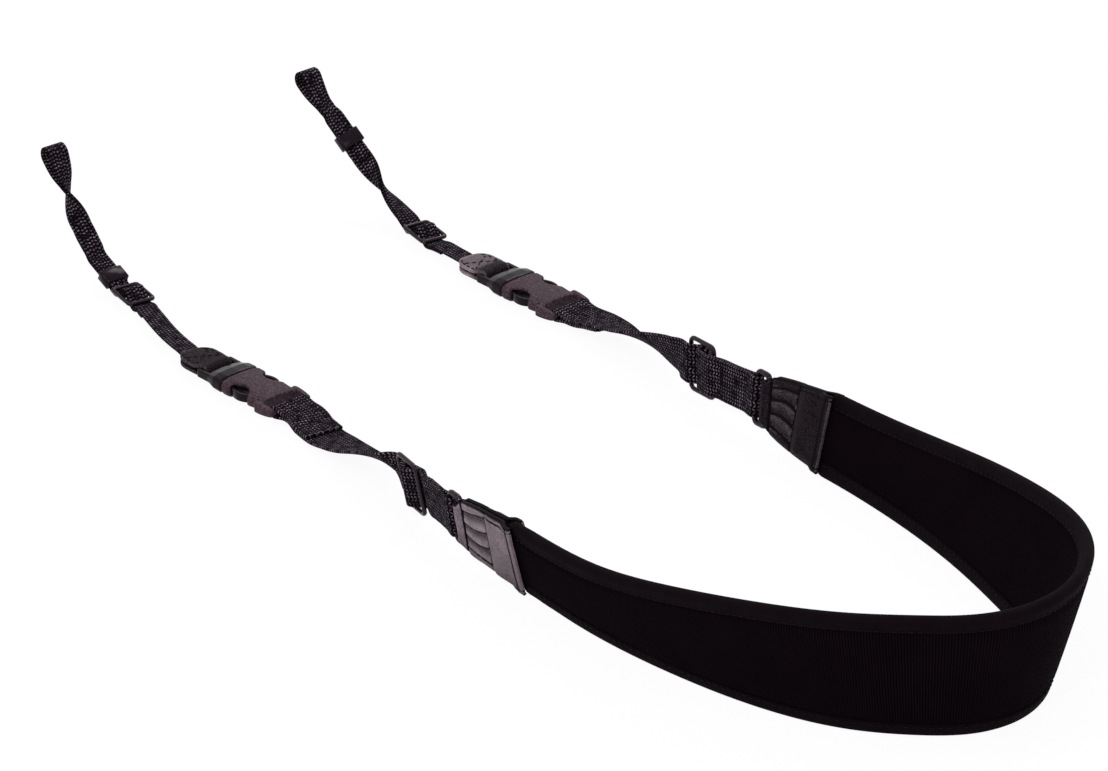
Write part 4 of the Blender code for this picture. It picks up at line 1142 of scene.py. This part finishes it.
class STRAP_OT_leather_tabs(Operator):
    """Makes the pleated leather tabs that hold the rings"""

    bl_idname = "strap.leather_tabs"
    bl_label = "Leather tabs"

    def execute(self, context):
        height = context.scene.strap_sizes.pleat / MM
        for branch in BRANCHES:
            path = eased(belt(tab_stops(branch), arc_step=12.0, run_step=0.6), 2)
            turn = max(range(len(path)), key=lambda k: path[k][0])
            start = branch.ring - PLEATS_START
            end = branch.seam + PAD_TUCK + PLEATS_END
            ridge_wear_and_sheen, plain_sheen = TAB_WEAR_AND_SHEEN[branch.side]

            def form(station, share):
                """The height of the leather's relief, and how deep in a seam the place is."""
                along = (start - station) / (start - end)
                if station > branch.ring - 1.5:
                    return 0.4, 0.0
                if along <= 0.0:
                    line = near(along, 0.0, 0.05)
                    return 0.85 - 0.5 * line, line
                if along >= 1.0:
                    hem = 0.5 * near(abs(share), 0.87, 0.035)
                    lip = 0.5 * near(station, branch.seam + OPEN_SEAM, 0.7)
                    line = max(near(along, 1.0, 0.05), hem, lip)
                    return 0.6 - 0.45 * line, line
                rise, valley = pleat_rise(share, along)
                ends = smooth(along / 0.10) * smooth((1.0 - along) / 0.07)
                line = max(near(along, 0.0, 0.045), near(along, 1.0, 0.045))
                return 0.3 + (rise - 0.3) * ends - 0.25 * line, max(valley, line)

            def relief(row, station, share):
                face = 1.0 if row < turn else -1.0
                spot = Vector((station * 0.16, share * 3.0, branch.sign * 7.0 + face))
                lift = height * form(station, share)[0] + 0.2 * noise.noise(spot)
                edge = smooth((abs(share) - 0.9) / 0.1)
                return face * (lift * (1.0 - 0.8 * edge) - leaf_pinch(branch, station, share))

            def wear_and_painted_light(station, share):
                rise, line = form(station, share)
                along = (start - station) / (start - end)
                # Painted sheen on the flat leather; on the pleats worn leather with painted sheen,
                # paler on their higher parts
                tone = plain_sheen
                if 0.0 < along < 1.0 and abs(share) < 0.8:
                    tone = ridge_wear_and_sheen * (0.28 + 0.95 * smooth((rise - 0.42) / 0.5))
                # Painted shade on the long edges where the leather rolls over, and a painted
                # highlight in a pale line just inside
                edge_shade = smooth((abs(share) - 0.92) / 0.03)
                rim = (0.12 + 0.2 * ridge_wear_and_sheen) * near(abs(share), 0.905, 0.02)
                tone = tone * (1.0 - edge_shade) - 0.5 * edge_shade + rim
                # Painted shade, darker across the tab towards one long edge
                tone *= 1.0 - 0.3 * smooth((share + 0.2) / 1.2)
                lip = 0.4 * (1.0 - smooth((station - branch.seam) / 0.8))
                # Painted shade, near black in the seams and the valleys between pleats
                deep = smooth((line - 0.1) / 0.35)
                return min(1.0, max(-1.0, tone * (1.0 - deep) - 1.2 * deep + lip))

            name = f"pleated_tab_{branch.side}"
            flat = sheet_mesh(name, path, partial(tab_width, branch), 90, wear_and_painted_light, relief)
            mesh = bent(thickened(flat, TAB_LEATHER, LEATHER_EDGE), branch)
            tab = finished(name, mesh, finish("leather"), "strap", sharp=50.0)
            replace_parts(tab, f"leather_tab_{branch.side}")
        return {"FINISHED"}


# Webbing


def wide_stops(branch):
    """Sewn round the socket's bar, over the slider, round the ring, back to the slider's bar."""
    half = WIDE_THICKNESS / 2.0
    together = half + GAP / 2.0
    bar = WIDE_SLIDER_BAR / 2.0 + GAP + half
    layer = WIDE_THICKNESS + GAP
    spread = (WIDE_SLIDER_LENGTH - WIDE_SLIDER_BAR) / 2.0
    near_bar, far_bar = branch.slider - spread, branch.slider + spread
    near_ring = branch.ring_centre + (RING_LENGTH - RING_BAR) / 2.0
    socket_seat = SOCKET_BAR / 2.0 + GAP + half
    ring_seat = RING_BAR / 2.0 + GAP + half
    run_in = 7.0
    return [
        (branch.socket_bar - WIDE_TAIL, -together, 0, 0),
        (branch.socket_bar - run_in, -together, 0, 0),
        (branch.socket_bar, 0.0, socket_seat, 1),
        (branch.socket_bar - run_in, together, 0, 0),
        (branch.socket_bar - WIDE_TAIL - 2.0, together, 0, 0),
        (branch.socket_bar - WIDE_TAIL - 12.0, 0.0, 0, 0),
        (far_bar + 2.0 * run_in, 0.0, 0, 0),
        (far_bar, 0.0, bar, -1),
        (branch.slider, 0.0, bar + layer, 1),
        (near_bar, 0.0, bar, -1),
        (near_bar - run_in, together - 1.0, 0, 0),
        (near_ring + run_in, together, 0, 0),
        (near_ring, 0.0, ring_seat, 1),
        (near_ring + run_in, -together, 0, 0),
        (near_bar - run_in, together - 1.0 - layer, 0, 0),
        (near_bar, 0.0, bar + layer, 1),
        (branch.slider, 0.0, bar, 1),
        (branch.slider - bar, -0.2, 0, 0),
    ]


def narrow_stops(branch):
    """Sewn in the patch, over the tri-glide's middle bar, round the eye and back the same way."""
    half = NARROW_THICKNESS / 2.0
    together = half + GAP / 2.0
    layer = NARROW_THICKNESS + GAP
    bar = GLIDE_BAR / 2.0 + GAP + half
    spread = (GLIDE_LENGTH - GLIDE_BAR) / 2.0
    first_bar, last_bar = branch.glide - spread, branch.glide + spread
    run_in, eye_run = 5.0, 15.0
    return [
        (branch.plug_bar + PLUG_BAR / 2.0 + 4.0, 0.0, 0, 0),
        (branch.patch_tip, 0.0, 0, 0),
        (first_bar - run_in, -0.5, 0, 0),
        (first_bar, 0.0, bar, 1),
        (branch.glide, 0.0, bar + layer, -1),
        (last_bar, 0.0, bar, 1),
        (last_bar + run_in, together - 0.6, 0, 0),
        (branch.keeper - run_in, together, 0, 0),
        (branch.eye - eye_run, together, 0, 0),
        (branch.eye, 0.0, EYE_RADIUS + half, -1),
        (branch.eye - eye_run, -together, 0, 0),
        (branch.keeper - run_in, -together, 0, 0),
        (last_bar + run_in, together - 0.6 - layer, 0, 0),
        (last_bar, 0.0, bar + layer, -1),
        (branch.glide, 0.0, bar, 1),
        (first_bar, 0.0, bar + layer, -1),
        (first_bar - run_in, -0.5 - layer, 0, 0),
        (first_bar - NARROW_TAIL, -0.2 - layer, 0, 0),
    ]


def webbing_piece(name, branch, path, width, thickness, body, node, context):
    """Lays webbing along a flat path, gives it its thickness and rounds its selvedges."""
    woven = finish("wide_webbing" if width == WIDE_WIDTH else "narrow_webbing")
    points, sideways, run = [], [], [0.0]
    for row, (station, height) in enumerate(path):
        points.append(branch.point(station, 0.0, height))
        sideways.append(branch.directions(station)[1])
        if row:
            run.append(run[-1] + math.dist(path[row], path[row - 1]) * MM)
    piece = linked(name, point_mesh(name, points, {"across": sideways}, {"run": run}, joined=True))
    columns = context.scene.strap_sizes.columns
    values = {"Width": width * MM, "Columns": columns, "Finish": woven}
    mesh = with_tree(piece, ribbon_tree(), values)
    mesh = righted(thickened(mesh, thickness * MM, SELVEDGE * MM))
    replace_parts(finished(name, mesh, woven, body, sharp=50.0), node)


class STRAP_OT_webbing(Operator):
    """Threads the wide and the narrow webbing through their sliders, rings and buckles"""

    bl_idname = "strap.webbing"
    bl_label = "Webbing"

    def execute(self, context):
        for branch in BRANCHES:
            side, top = branch.side, branch.sign
            wide = eased(belt(wide_stops(branch)), 2)
            webbing_piece(
                f"wide_band_{side}", branch, wide, WIDE_WIDTH, WIDE_THICKNESS,
                "strap", f"wide_webbing_{side}", context,
            )
            thin = [(s, top * h) for s, h in eased(belt(narrow_stops(branch)), 2)]
            webbing_piece(
                f"thin_band_{side}", branch, thin, NARROW_WIDTH, NARROW_THICKNESS,
                branch.end_body, f"narrow_webbing_{side}", context,
            )
        return {"FINISHED"}


# Leather patches

# The run in which the patch closes behind the plug's bar
FOLD_RUN = 5.0

# How pale each side's leather is made, worn and with painted sheen: the patch's rim, and its face
PATCH_WEAR_AND_SHEEN = {"left": (0.18, 0.03), "right": (0.40, 0.62)}


def patch_width(branch, station):
    """The patch's width: from a neck between the plug's rails it swells, and it ends in an oval."""
    share = limited((station - branch.plug_bar) / PATCH_LENGTH)
    neck = PLUG_END_WIDTH - 2.0 * PLUG_RAIL - 2.0 * PLAY
    body = neck + (PATCH_WIDTH - neck) * smooth(share / 0.3)
    oval = 0.55
    if share > oval:
        part = (share - oval) / (1.0 - oval)
        body *= 0.28 + 0.72 * math.sqrt(max(0.0, 1.0 - part * part))
    return body


class STRAP_OT_patches(Operator):
    """Makes the oval leather patches folded round the plugs' bars"""

    bl_idname = "strap.patches"
    bl_label = "Leather patches"

    def execute(self, context):
        half = PATCH_LEATHER / 2.0
        leaf = NARROW_THICKNESS / 2.0 + GAP + half
        seat = PLUG_BAR / 2.0 + GAP + half
        for branch in BRANCHES:
            tip, bar = branch.patch_tip, branch.plug_bar
            stops = [
                (tip, leaf, 0, 0),
                (bar + FOLD_RUN, leaf, 0, 0),
                (bar, 0.0, seat, 1),
                (bar + FOLD_RUN, -leaf, 0, 0),
                (tip, -leaf, 0, 0),
            ]
            rim_wear_and_sheen, face_wear_and_sheen = PATCH_WEAR_AND_SHEEN[branch.side]

            def wear_and_painted_light(station, share):
                # Worn leather with painted sheen at the rim, the tip and over the face
                rim = smooth((abs(share) - 0.8) / 0.2)
                tip_rim = smooth((station - tip + 2.5) / 2.5)
                face = face_wear_and_sheen * smooth((station - bar - 2.5) / 6.0)
                return min(1.0, rim_wear_and_sheen * max(rim, tip_rim) + face)

            name = f"oval_patch_{branch.side}"
            path = belt(stops, run_step=0.7)
            flat = sheet_mesh(name, path, partial(patch_width, branch), 20, wear_and_painted_light)
            mesh = bent(thickened(flat, PATCH_LEATHER, LEATHER_EDGE), branch)
            leather = finish("leather")
            patch = finished(name, mesh, leather, branch.end_body, sharp=50.0)
            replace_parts(patch, f"leather_patch_{branch.side}")
        return {"FINISHED"}


# Plastic hardware

# Grains in which rods and the buckles' halves are cast, and the cut at the foot of the plug's
# arms, in metres
ROD_GRAIN = 0.24 * MM
SOCKET_GRAIN = 0.42 * MM
PLUG_GRAIN = 0.36 * MM
PLUG_CUT = -0.2 * MM

# How far the socket's lobes thin out and close in, and where they begin before its end
LOBE_THINNING = 0.42
LOBE_CLOSING = 0.7
LOBE_START = 1.5


def standing(branch, station):
    """Where a hard piece stands: x towards the eye, y across, z to its top side."""
    along, across, outer = branch.directions(station)
    if branch.sign < 0:
        across, outer = -across, -outer
    columns = (along, across, outer)
    matrix = Matrix([[column[k] for column in columns] for k in range(3)]).to_4x4()
    matrix.translation = branch.point(station, 0.0, 0.0)
    return matrix


def solid_of(node):
    """A solid's mesh with its facets joined into flat faces again."""
    bm = bmesh.new()
    bm.from_mesh(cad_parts[node].data)
    bmesh.ops.remove_doubles(bm, verts=bm.verts, dist=1e-6)
    bmesh.ops.dissolve_limit(bm, angle_limit=math.radians(1.0), verts=bm.verts, edges=bm.edges)
    bmesh.ops.recalc_face_normals(bm, faces=bm.faces)
    return bm


def rounded_over(mesh, rounding, segments):
    """The mesh of a hard piece with its edges rounded."""
    piece = linked("moulding", mesh)
    soften(piece, rounding, segments, 50.0)
    return baked(piece)


def melted(mesh, grain, rounds):
    """The mesh cast anew in a fine grid and smoothed, so that every edge is rounded."""
    piece = linked("casting", mesh)
    cast = piece.modifiers.new("cast", "REMESH")
    cast.mode = "VOXEL"
    cast.voxel_size = grain
    ease = piece.modifiers.new("ease", "SMOOTH")
    ease.factor = 0.5
    ease.iterations = rounds
    return baked(piece)


def fitted(name, node, mesh, kind, body, sharp):
    """A moulded piece in its finish, shown in place of its node."""
    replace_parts(finished(name, mesh, finish(kind), body, sharp), node)


def rod_piece(name, node, body):
    """A node of bars, cast as round rods."""
    bm = solid_of(node)
    bmesh.ops.triangulate(bm, faces=bm.faces)
    fitted(name, node, melted(mesh_of(bm, name), ROD_GRAIN, 4), "bars", body, 180.0)


class STRAP_OT_hardware(Operator):
    """Makes the rings, sliders, tri-glides and keepers"""

    bl_idname = "strap.hardware"
    bl_label = "Rings and sliders"

    def execute(self, context):
        edge = context.scene.strap_sizes.moulded_edge
        for branch in BRANCHES:
            side = branch.side
            rod_piece(f"moulded_ring_{side}", f"ring_{side}", "strap")
            rod_piece(f"moulded_slider_{side}", f"wide_slider_{side}", "strap")
            rod_piece(f"moulded_triglide_{side}", f"narrow_triglide_{side}", branch.end_body)
            name, node = f"moulded_keeper_{side}", f"keeper_{side}"
            mesh = rounded_over(mesh_of(solid_of(node), name), edge, 2)
            fitted(name, node, mesh, "gloss", node, 60.0)
        return {"FINISHED"}


# The hairpin of a spring arm, from the plug's base into the socket's window and back on itself
HAIRPIN = (
    (1.5, 8.9), (-2.0, 8.9), (-5.0, 9.0), (-7.2, 9.9), (-9.6, 10.8), (-12.2, 11.1),
    (-14.8, 10.6), (-17.0, 9.2), (-18.6, 7.4), (-18.9, 6.0), (-17.6, 5.1), (-14.8, 4.7),
    (-11.8, 4.7), (-9.2, 5.3), (-7.6, 6.4), (-7.0, 7.8),
)
HAIRPIN_WALL = 1.5
HAIRPIN_HEIGHT = 4.0


def hairpin(name, direction):
    """One spring arm as a band of even thickness that follows the hairpin."""
    path = spline([(x, direction * y, 0.0) for x, y in HAIRPIN], 0.6)
    up = np.array((0.0, 0.0, HAIRPIN_HEIGHT / 2.0))
    bm = bmesh.new()
    rows = []
    for i, point in enumerate(path):
        ahead = path[min(i + 1, len(path) - 1)] - path[max(i - 1, 0)]
        ahead = ahead / np.linalg.norm(ahead)
        side = np.array((-ahead[1], ahead[0], 0.0)) * HAIRPIN_WALL / 2.0
        corners = (point + side + up, point - side + up, point - side - up, point + side - up)
        rows.append([bm.verts.new(corner * MM) for corner in corners])
    for first, second in zip(rows, rows[1:]):
        for k in range(4):
            j = (k + 1) % 4
            bm.faces.new((first[k], first[j], second[j], second[k]))
    bm.faces.new(rows[0])
    bm.faces.new(rows[-1])
    bmesh.ops.recalc_face_normals(bm, faces=bm.faces)
    return mesh_of(bm, name)


class STRAP_OT_buckles(Operator):
    """Makes the two halves of the side-release buckles"""

    bl_idname = "strap.buckles"
    bl_label = "Buckles"

    def laid(self, node, place):
        """A half's solid in its own place, its mouth at the origin."""
        bm = solid_of(node)
        bmesh.ops.transform(bm, matrix=place.inverted(), verts=bm.verts)
        return bm

    def socket(self, branch, place):
        """The socket half, with lobes that thin out round the webbing's loop."""
        node = f"buckle_socket_{branch.side}"
        bm = self.laid(node, place)
        bmesh.ops.triangulate(bm, faces=bm.faces)
        mesh = melted(mesh_of(bm, "socket"), SOCKET_GRAIN, 3)
        for vertex in mesh.vertices:
            x, y, z = vertex.co / MM
            past = limited((-x - SOCKET_LENGTH + LOBE_START) / (SOCKET_LOOP + LOBE_START))
            lobe = smooth((abs(y) - WIDE_WIDTH / 2.0) / 0.8) * past * past
            z *= 1.0 - LOBE_THINNING * lobe
            y -= math.copysign(LOBE_CLOSING * lobe, y)
            vertex.co = Vector((x, y, z)) * MM
        mesh.transform(place)
        fitted(f"moulded_socket_{branch.side}", node, mesh, "plastic", "strap", 180.0)

    def plug(self, branch, place, edge):
        """The plug half: the solid's base, a tongue and spring arms bent from a thin band."""
        node = f"buckle_plug_{branch.side}"
        bm = self.laid(node, place)
        cut = bmesh.ops.bisect_plane(
            bm, geom=bm.verts[:] + bm.edges[:] + bm.faces[:],
            plane_co=(PLUG_CUT, 0.0, 0.0), plane_no=(-1.0, 0.0, 0.0), clear_outer=True,
        )
        rim = [item for item in cut["geom_cut"] if isinstance(item, bmesh.types.BMEdge)]
        bmesh.ops.holes_fill(bm, edges=rim, sides=0)
        bmesh.ops.triangulate(bm, faces=bm.faces)
        joined = bmesh.new()
        joined.from_mesh(melted(mesh_of(bm, "plug"), PLUG_GRAIN, 3))
        for direction in (-1, 1):
            joined.from_mesh(rounded_over(hairpin("hairpin", direction), edge, 3))
        tongue = bmesh.new()
        bmesh.ops.create_cube(tongue, size=1.0)
        size = Vector((TONGUE_LENGTH, TONGUE_WIDTH, TONGUE_HEIGHT)) * MM
        bmesh.ops.scale(tongue, vec=size, verts=tongue.verts)
        middle = ((1.0 - TONGUE_LENGTH / 2.0) * MM, 0.0, 0.0)
        bmesh.ops.translate(tongue, vec=middle, verts=tongue.verts)
        joined.from_mesh(rounded_over(mesh_of(tongue, "tongue"), 2.0 * edge, 3))
        bmesh.ops.transform(joined, matrix=place, verts=joined.verts)
        mesh = mesh_of(joined, "plug")
        fitted(f"moulded_plug_{branch.side}", node, mesh, "gloss", branch.end_body, 45.0)

    def execute(self, context):
        edge = context.scene.strap_sizes.moulded_edge
        for branch in BRANCHES:
            place = standing(branch, branch.mouth)
            self.socket(branch, place)
            self.plug(branch, place, edge)
        return {"FINISHED"}


# Sewing

# How far a row of stitches lies over webbing or tape, over a tab's hem and over its cross seam
ON_TOP = 0.02
ON_HEM = 0.25
ON_CROSS = 0.45

# How far a patch's seams lie inside its rim
PATCH_HEM = 1.6


class Seam:
    """Places of stitches on one body, each with its direction and the way out of the surface."""

    def __init__(self, pitch):
        self.pitch = pitch
        self.places, self.along, self.outward = [], [], []

    def row(self, owner, trail, facing):
        """Stitches along a trail of (station, across, height), on the side that facing gives."""
        points = [owner.point(*spot) for spot in trail]
        out = [owner.directions(spot[0])[2] * facing for spot in trail]
        steps = [(b - a).length for a, b in zip(points, points[1:])]
        chord = np.concatenate([[0.0], np.cumsum(steps)])
        count = max(1, round(chord[-1] / self.pitch))
        for k in range(count):
            at = (k + 0.5) * chord[-1] / count
            i = min(int(np.searchsorted(chord, at, side="right")) - 1, len(points) - 2)
            part = (at - chord[i]) / (chord[i + 1] - chord[i])
            self.places.append(points[i].lerp(points[i + 1], part))
            self.along.append((points[i + 1] - points[i]).normalized())
            self.outward.append(out[i].lerp(out[i + 1], part).normalized())


def leg(first, last, height):
    """A straight trail between two places of (station, across), at one height."""
    (s0, y0), (s1, y1) = first, last
    return [(s0 + (s1 - s0) * k / 8.0, y0 + (y1 - y0) * k / 8.0, height) for k in range(9)]


def pad_seams(seam):
    """One row along each binding, on both faces of the pad."""
    stations = [s for s in pad_stations(3.0) if abs(s) < PAD_SHOWN / 2.0 - 0.5]
    for edge in (-1, 1):
        places = [(s, edge * (pad_width(s) / 2.0 - BINDING_WIDTH + 1.2)) for s in stations]
        for face in (-1, 1):
            height = face * (BINDING_SHELL / 2.0 + ON_TOP)
            seam.row(LINE, [(s, y, height) for s, y in places], face)


def tab_seams(seam, cross_seam, branch):
    """A hem all round both leaves, and the cross seam at the pad's end."""
    cross = branch.seam + PAD_TUCK + CROSS_SEAM
    front = branch.seam + OPEN_SEAM

    def spot(station, share, face, lift):
        top = leaf_height(branch, station) - leaf_pinch(branch, station, share) + TAB_LEATHER / 2.0
        return station, share * tab_width(branch, station) / 2.0, face * (top + lift)

    step = 0.8
    hem = [front + step * k for k in range(200) if front + step * k < branch.ring - 3.6]
    across = [0.8 * (k / 10.0 - 1.0) for k in range(21)]
    for face in (-1, 1):
        for edge in (-0.86, 0.86):
            seam.row(branch, [spot(s, edge, face, ON_HEM) for s in hem], face)
        seam.row(branch, [spot(front, share, face, ON_HEM) for share in across], face)
        cross_seam.row(branch, [spot(cross, share, face, ON_CROSS) for share in across], face)


def box_seam(seam, branch, low, high, half_width, height, facing):
    """A sewn box with its cross."""
    corners = [(low, -half_width), (high, -half_width), (high, half_width), (low, half_width)]
    pairs = ((0, 1), (1, 2), (2, 3), (3, 0), (0, 2), (1, 3))
    for first, last in pairs:
        seam.row(branch, leg(corners[first], corners[last], height), facing)


def patch_seams(seam, branch):
    """A border that follows the oval and a cross within, on both leaves."""
    height = NARROW_THICKNESS / 2.0 + GAP + PATCH_LEATHER + ON_TOP
    low, high = branch.plug_bar + FOLD_RUN, branch.patch_tip - 1.9
    cross_end = high - 3.5

    def reach(station):
        return patch_width(branch, station) / 2.0 - PATCH_HEM

    for face in (-1, 1):
        for edge in (-1, 1):
            border = [low + (high - low) * k / 24.0 for k in range(25)]
            trail = [(s, edge * max(reach(s), 0.4), face * height) for s in border]
            seam.row(branch, trail, face)
        for turn in (-1, 1):
            first, last = (low, -turn * reach(low)), (cross_end, turn * reach(cross_end))
            seam.row(branch, leg(first, last, face * height), face)


def sewn(name, seam, body, context, thread="thread", weight=1.0):
    """Turns a seam into thread."""
    sizes = context.scene.strap_sizes
    material = finish(thread)
    vectors = {"along": seam.along, "outward": seam.outward}
    piece = linked(name, point_mesh(name, seam.places, vectors))
    values = {"Stitch Length": sizes.stitch, "Thread": sizes.thread * weight, "Finish": material}
    mesh = with_tree(piece, stitch_tree(), values)
    finished(name, mesh, material, body, sharp=180.0)


class STRAP_OT_stitching(Operator):
    """Sews the bindings, tabs, webbing ends and patches"""

    bl_idname = "strap.stitching"
    bl_label = "Stitching"

    def execute(self, context):
        sizes = context.scene.strap_sizes
        pitch = sizes.stitch + sizes.stitch_gap
        body_seam = Seam(pitch)
        cross_seam = Seam(1.3 * pitch)
        pad_seams(body_seam)
        half = WIDE_WIDTH / 2.0
        for branch in BRANCHES:
            tab_seams(body_seam, cross_seam, branch)
            fixed = WIDE_THICKNESS + GAP / 2.0 + ON_TOP
            low, high = branch.socket_bar - WIDE_TAIL + 2.0, branch.socket_bar - 8.0
            for face in (-1, 1):
                box_seam(body_seam, branch, low, high, half - 2.0, face * fixed, face)
                shares = (-0.94, -0.5, 0.0, 0.5, 0.94)
                ends = [(low - 1.2, share * half, face * fixed) for share in shares]
                cross_seam.row(branch, ends, face)
            end_seam = Seam(pitch)
            patch_seams(end_seam, branch)
            sewn(f"patch_thread_{branch.side}", end_seam, branch.end_body, context, weight=1.4)
        sewn("strap_thread", body_seam, "strap", context)
        sewn("cross_thread", cross_seam, "strap", context, "pale_thread")
        return {"FINISHED"}


# Stage

# The lamps: name, place, width and height in metres, and power in watts
LAMPS = (
    ("key_light", (-0.6, -1.5, 2.1), (1.4, 1.4), 25.0),
    ("fill_light", (1.9, -0.2, 1.5), (1.2, 1.2), 12.0),
    ("rim_light", (-0.9, 1.6, 1.7), (1.6, 0.8), 20.0),
    ("glint_light", (1.1, -1.5, 1.9), (0.10, 0.10), 14.0),
)
LAMP_TARGET = (0.05, 0.0, 0.0)

# The world's light on the strap, the share of white that the floor shows, and the floor's place
AMBIENT = 0.55
FLOOR_WHITE = 0.94
FLOOR_HALF = 9.0
FLOOR_DROP = 0.0004


def aim(thing, place, target):
    """Puts a lamp or the camera in its place and turns it to a target."""
    thing.location = place
    turned = (Vector(target) - Vector(place)).to_track_quat("-Z", "Y")
    thing.rotation_euler = turned.to_euler()
    bpy.context.scene.collection.objects.link(thing)


def softbox(name, place, size, power):
    """A rectangular lamp."""
    data = bpy.data.lights.new(name, "AREA")
    data.shape = "RECTANGLE"
    data.size, data.size_y = size
    data.energy = power
    aim(bpy.data.objects.new(name, data), place, LAMP_TARGET)


class STRAP_OT_stage(Operator):
    """Sets the floor, the soft studio light and the camera"""

    bl_idname = "strap.stage"
    bl_label = "Stage"

    def camera(self, scene):
        """The camera, at its distance from the zero of the strap's own line."""
        shift = Vector(ORIGIN_SHIFT) * MM
        rise = math.radians(CAMERA_ELEVATION)
        flat = math.cos(rise) * CAMERA_DISTANCE
        x, y = (share * flat for share in CAMERA_HEADING)
        place = Vector((x, y, math.sin(rise) * CAMERA_DISTANCE))
        data = bpy.data.cameras.new("view")
        data.lens = FOCAL_PIXELS / IMAGE_WIDTH * SENSOR_WIDTH
        data.sensor_width = SENSOR_WIDTH
        data.sensor_fit = "HORIZONTAL"
        data.clip_end = 50.0
        scene.camera = bpy.data.objects.new("view", data)
        aim(scene.camera, place + shift, shift)

    def world(self, scene):
        """A studio that is white to look at and dimmer as light."""
        world = bpy.data.worlds.new("studio")
        scene.world = world
        world.use_nodes = True
        make = TreeMaker(world.node_tree)
        background = world.node_tree.nodes["Background"]
        background.inputs["Color"].default_value = WHITE
        strength = AMBIENT + make.background_seen() * (1.0 - AMBIENT)
        make.feed(background.inputs["Strength"], strength)

    def floor(self, scene):
        """A floor that looks nearly white and still takes the strap's shadow."""
        bm = bmesh.new()
        bmesh.ops.create_grid(bm, x_segments=1, y_segments=1, size=FLOOR_HALF)
        bmesh.ops.translate(bm, vec=(0.0, 0.0, -FLOOR_DROP), verts=bm.verts)
        floor = linked("studio_floor", mesh_of(bm, "studio_floor"))
        colour = tuple(scene.strap_colours.floor)
        cloth = Finish("studio_floor", colour)
        floor.data.materials.append(cloth.dress((*colour, 1.0), 0.9, 0.1, tint=WHITE))
        lit = Wire(cloth, cloth.shader.outputs[0])
        glow = cloth.node("ShaderNodeEmission", Color=WHITE, Strength=1.0)
        share = cloth.background_seen() * FLOOR_WHITE
        mixed = cloth.node("ShaderNodeMixShader", _0=share, _1=lit, _2=glow)
        cloth.feed(cloth.tree.nodes["Material Output"].inputs["Surface"], mixed)

    def execute(self, context):
        scene = context.scene
        scene.view_settings.view_transform = "Standard"
        self.camera(scene)
        self.world(scene)
        self.floor(scene)
        for lamp in LAMPS:
            softbox(*lamp)
        return {"FINISHED"}


class STRAP_PT_panel(Panel):
    """Lists the strap's sizes, colours and pieces"""

    bl_idname = "STRAP_PT_panel"
    bl_label = "Neck strap"
    bl_space_type = "VIEW_3D"
    bl_region_type = "UI"
    bl_category = "Strap"

    def draw(self, context):
        for group in (context.scene.strap_sizes, context.scene.strap_colours):
            box = self.layout.box()
            for key in group.__annotations__:
                box.prop(group, key)
        for maker in MAKERS:
            self.layout.operator(maker.bl_idname)


MAKERS = (
    STRAP_OT_stage,
    STRAP_OT_neck_pad,
    STRAP_OT_bindings,
    STRAP_OT_leather_tabs,
    STRAP_OT_webbing,
    STRAP_OT_patches,
    STRAP_OT_hardware,
    STRAP_OT_buckles,
    STRAP_OT_stitching,
)
CLASSES = (StrapColours, StrapSizes, *MAKERS, STRAP_PT_panel)


def register():
    for cls in CLASSES:
        bpy.utils.register_class(cls)
    bpy.types.Scene.strap_colours = PointerProperty(type=StrapColours)
    bpy.types.Scene.strap_sizes = PointerProperty(type=StrapSizes)


def unregister():
    del bpy.types.Scene.strap_sizes
    del bpy.types.Scene.strap_colours
    for cls in reversed(CLASSES):
        bpy.utils.unregister_class(cls)


def main():
    register()
    for maker in MAKERS:
        group, name = maker.bl_idname.split(".")
        getattr(getattr(bpy.ops, group), name)()


if __name__ == "__main__":
    main()
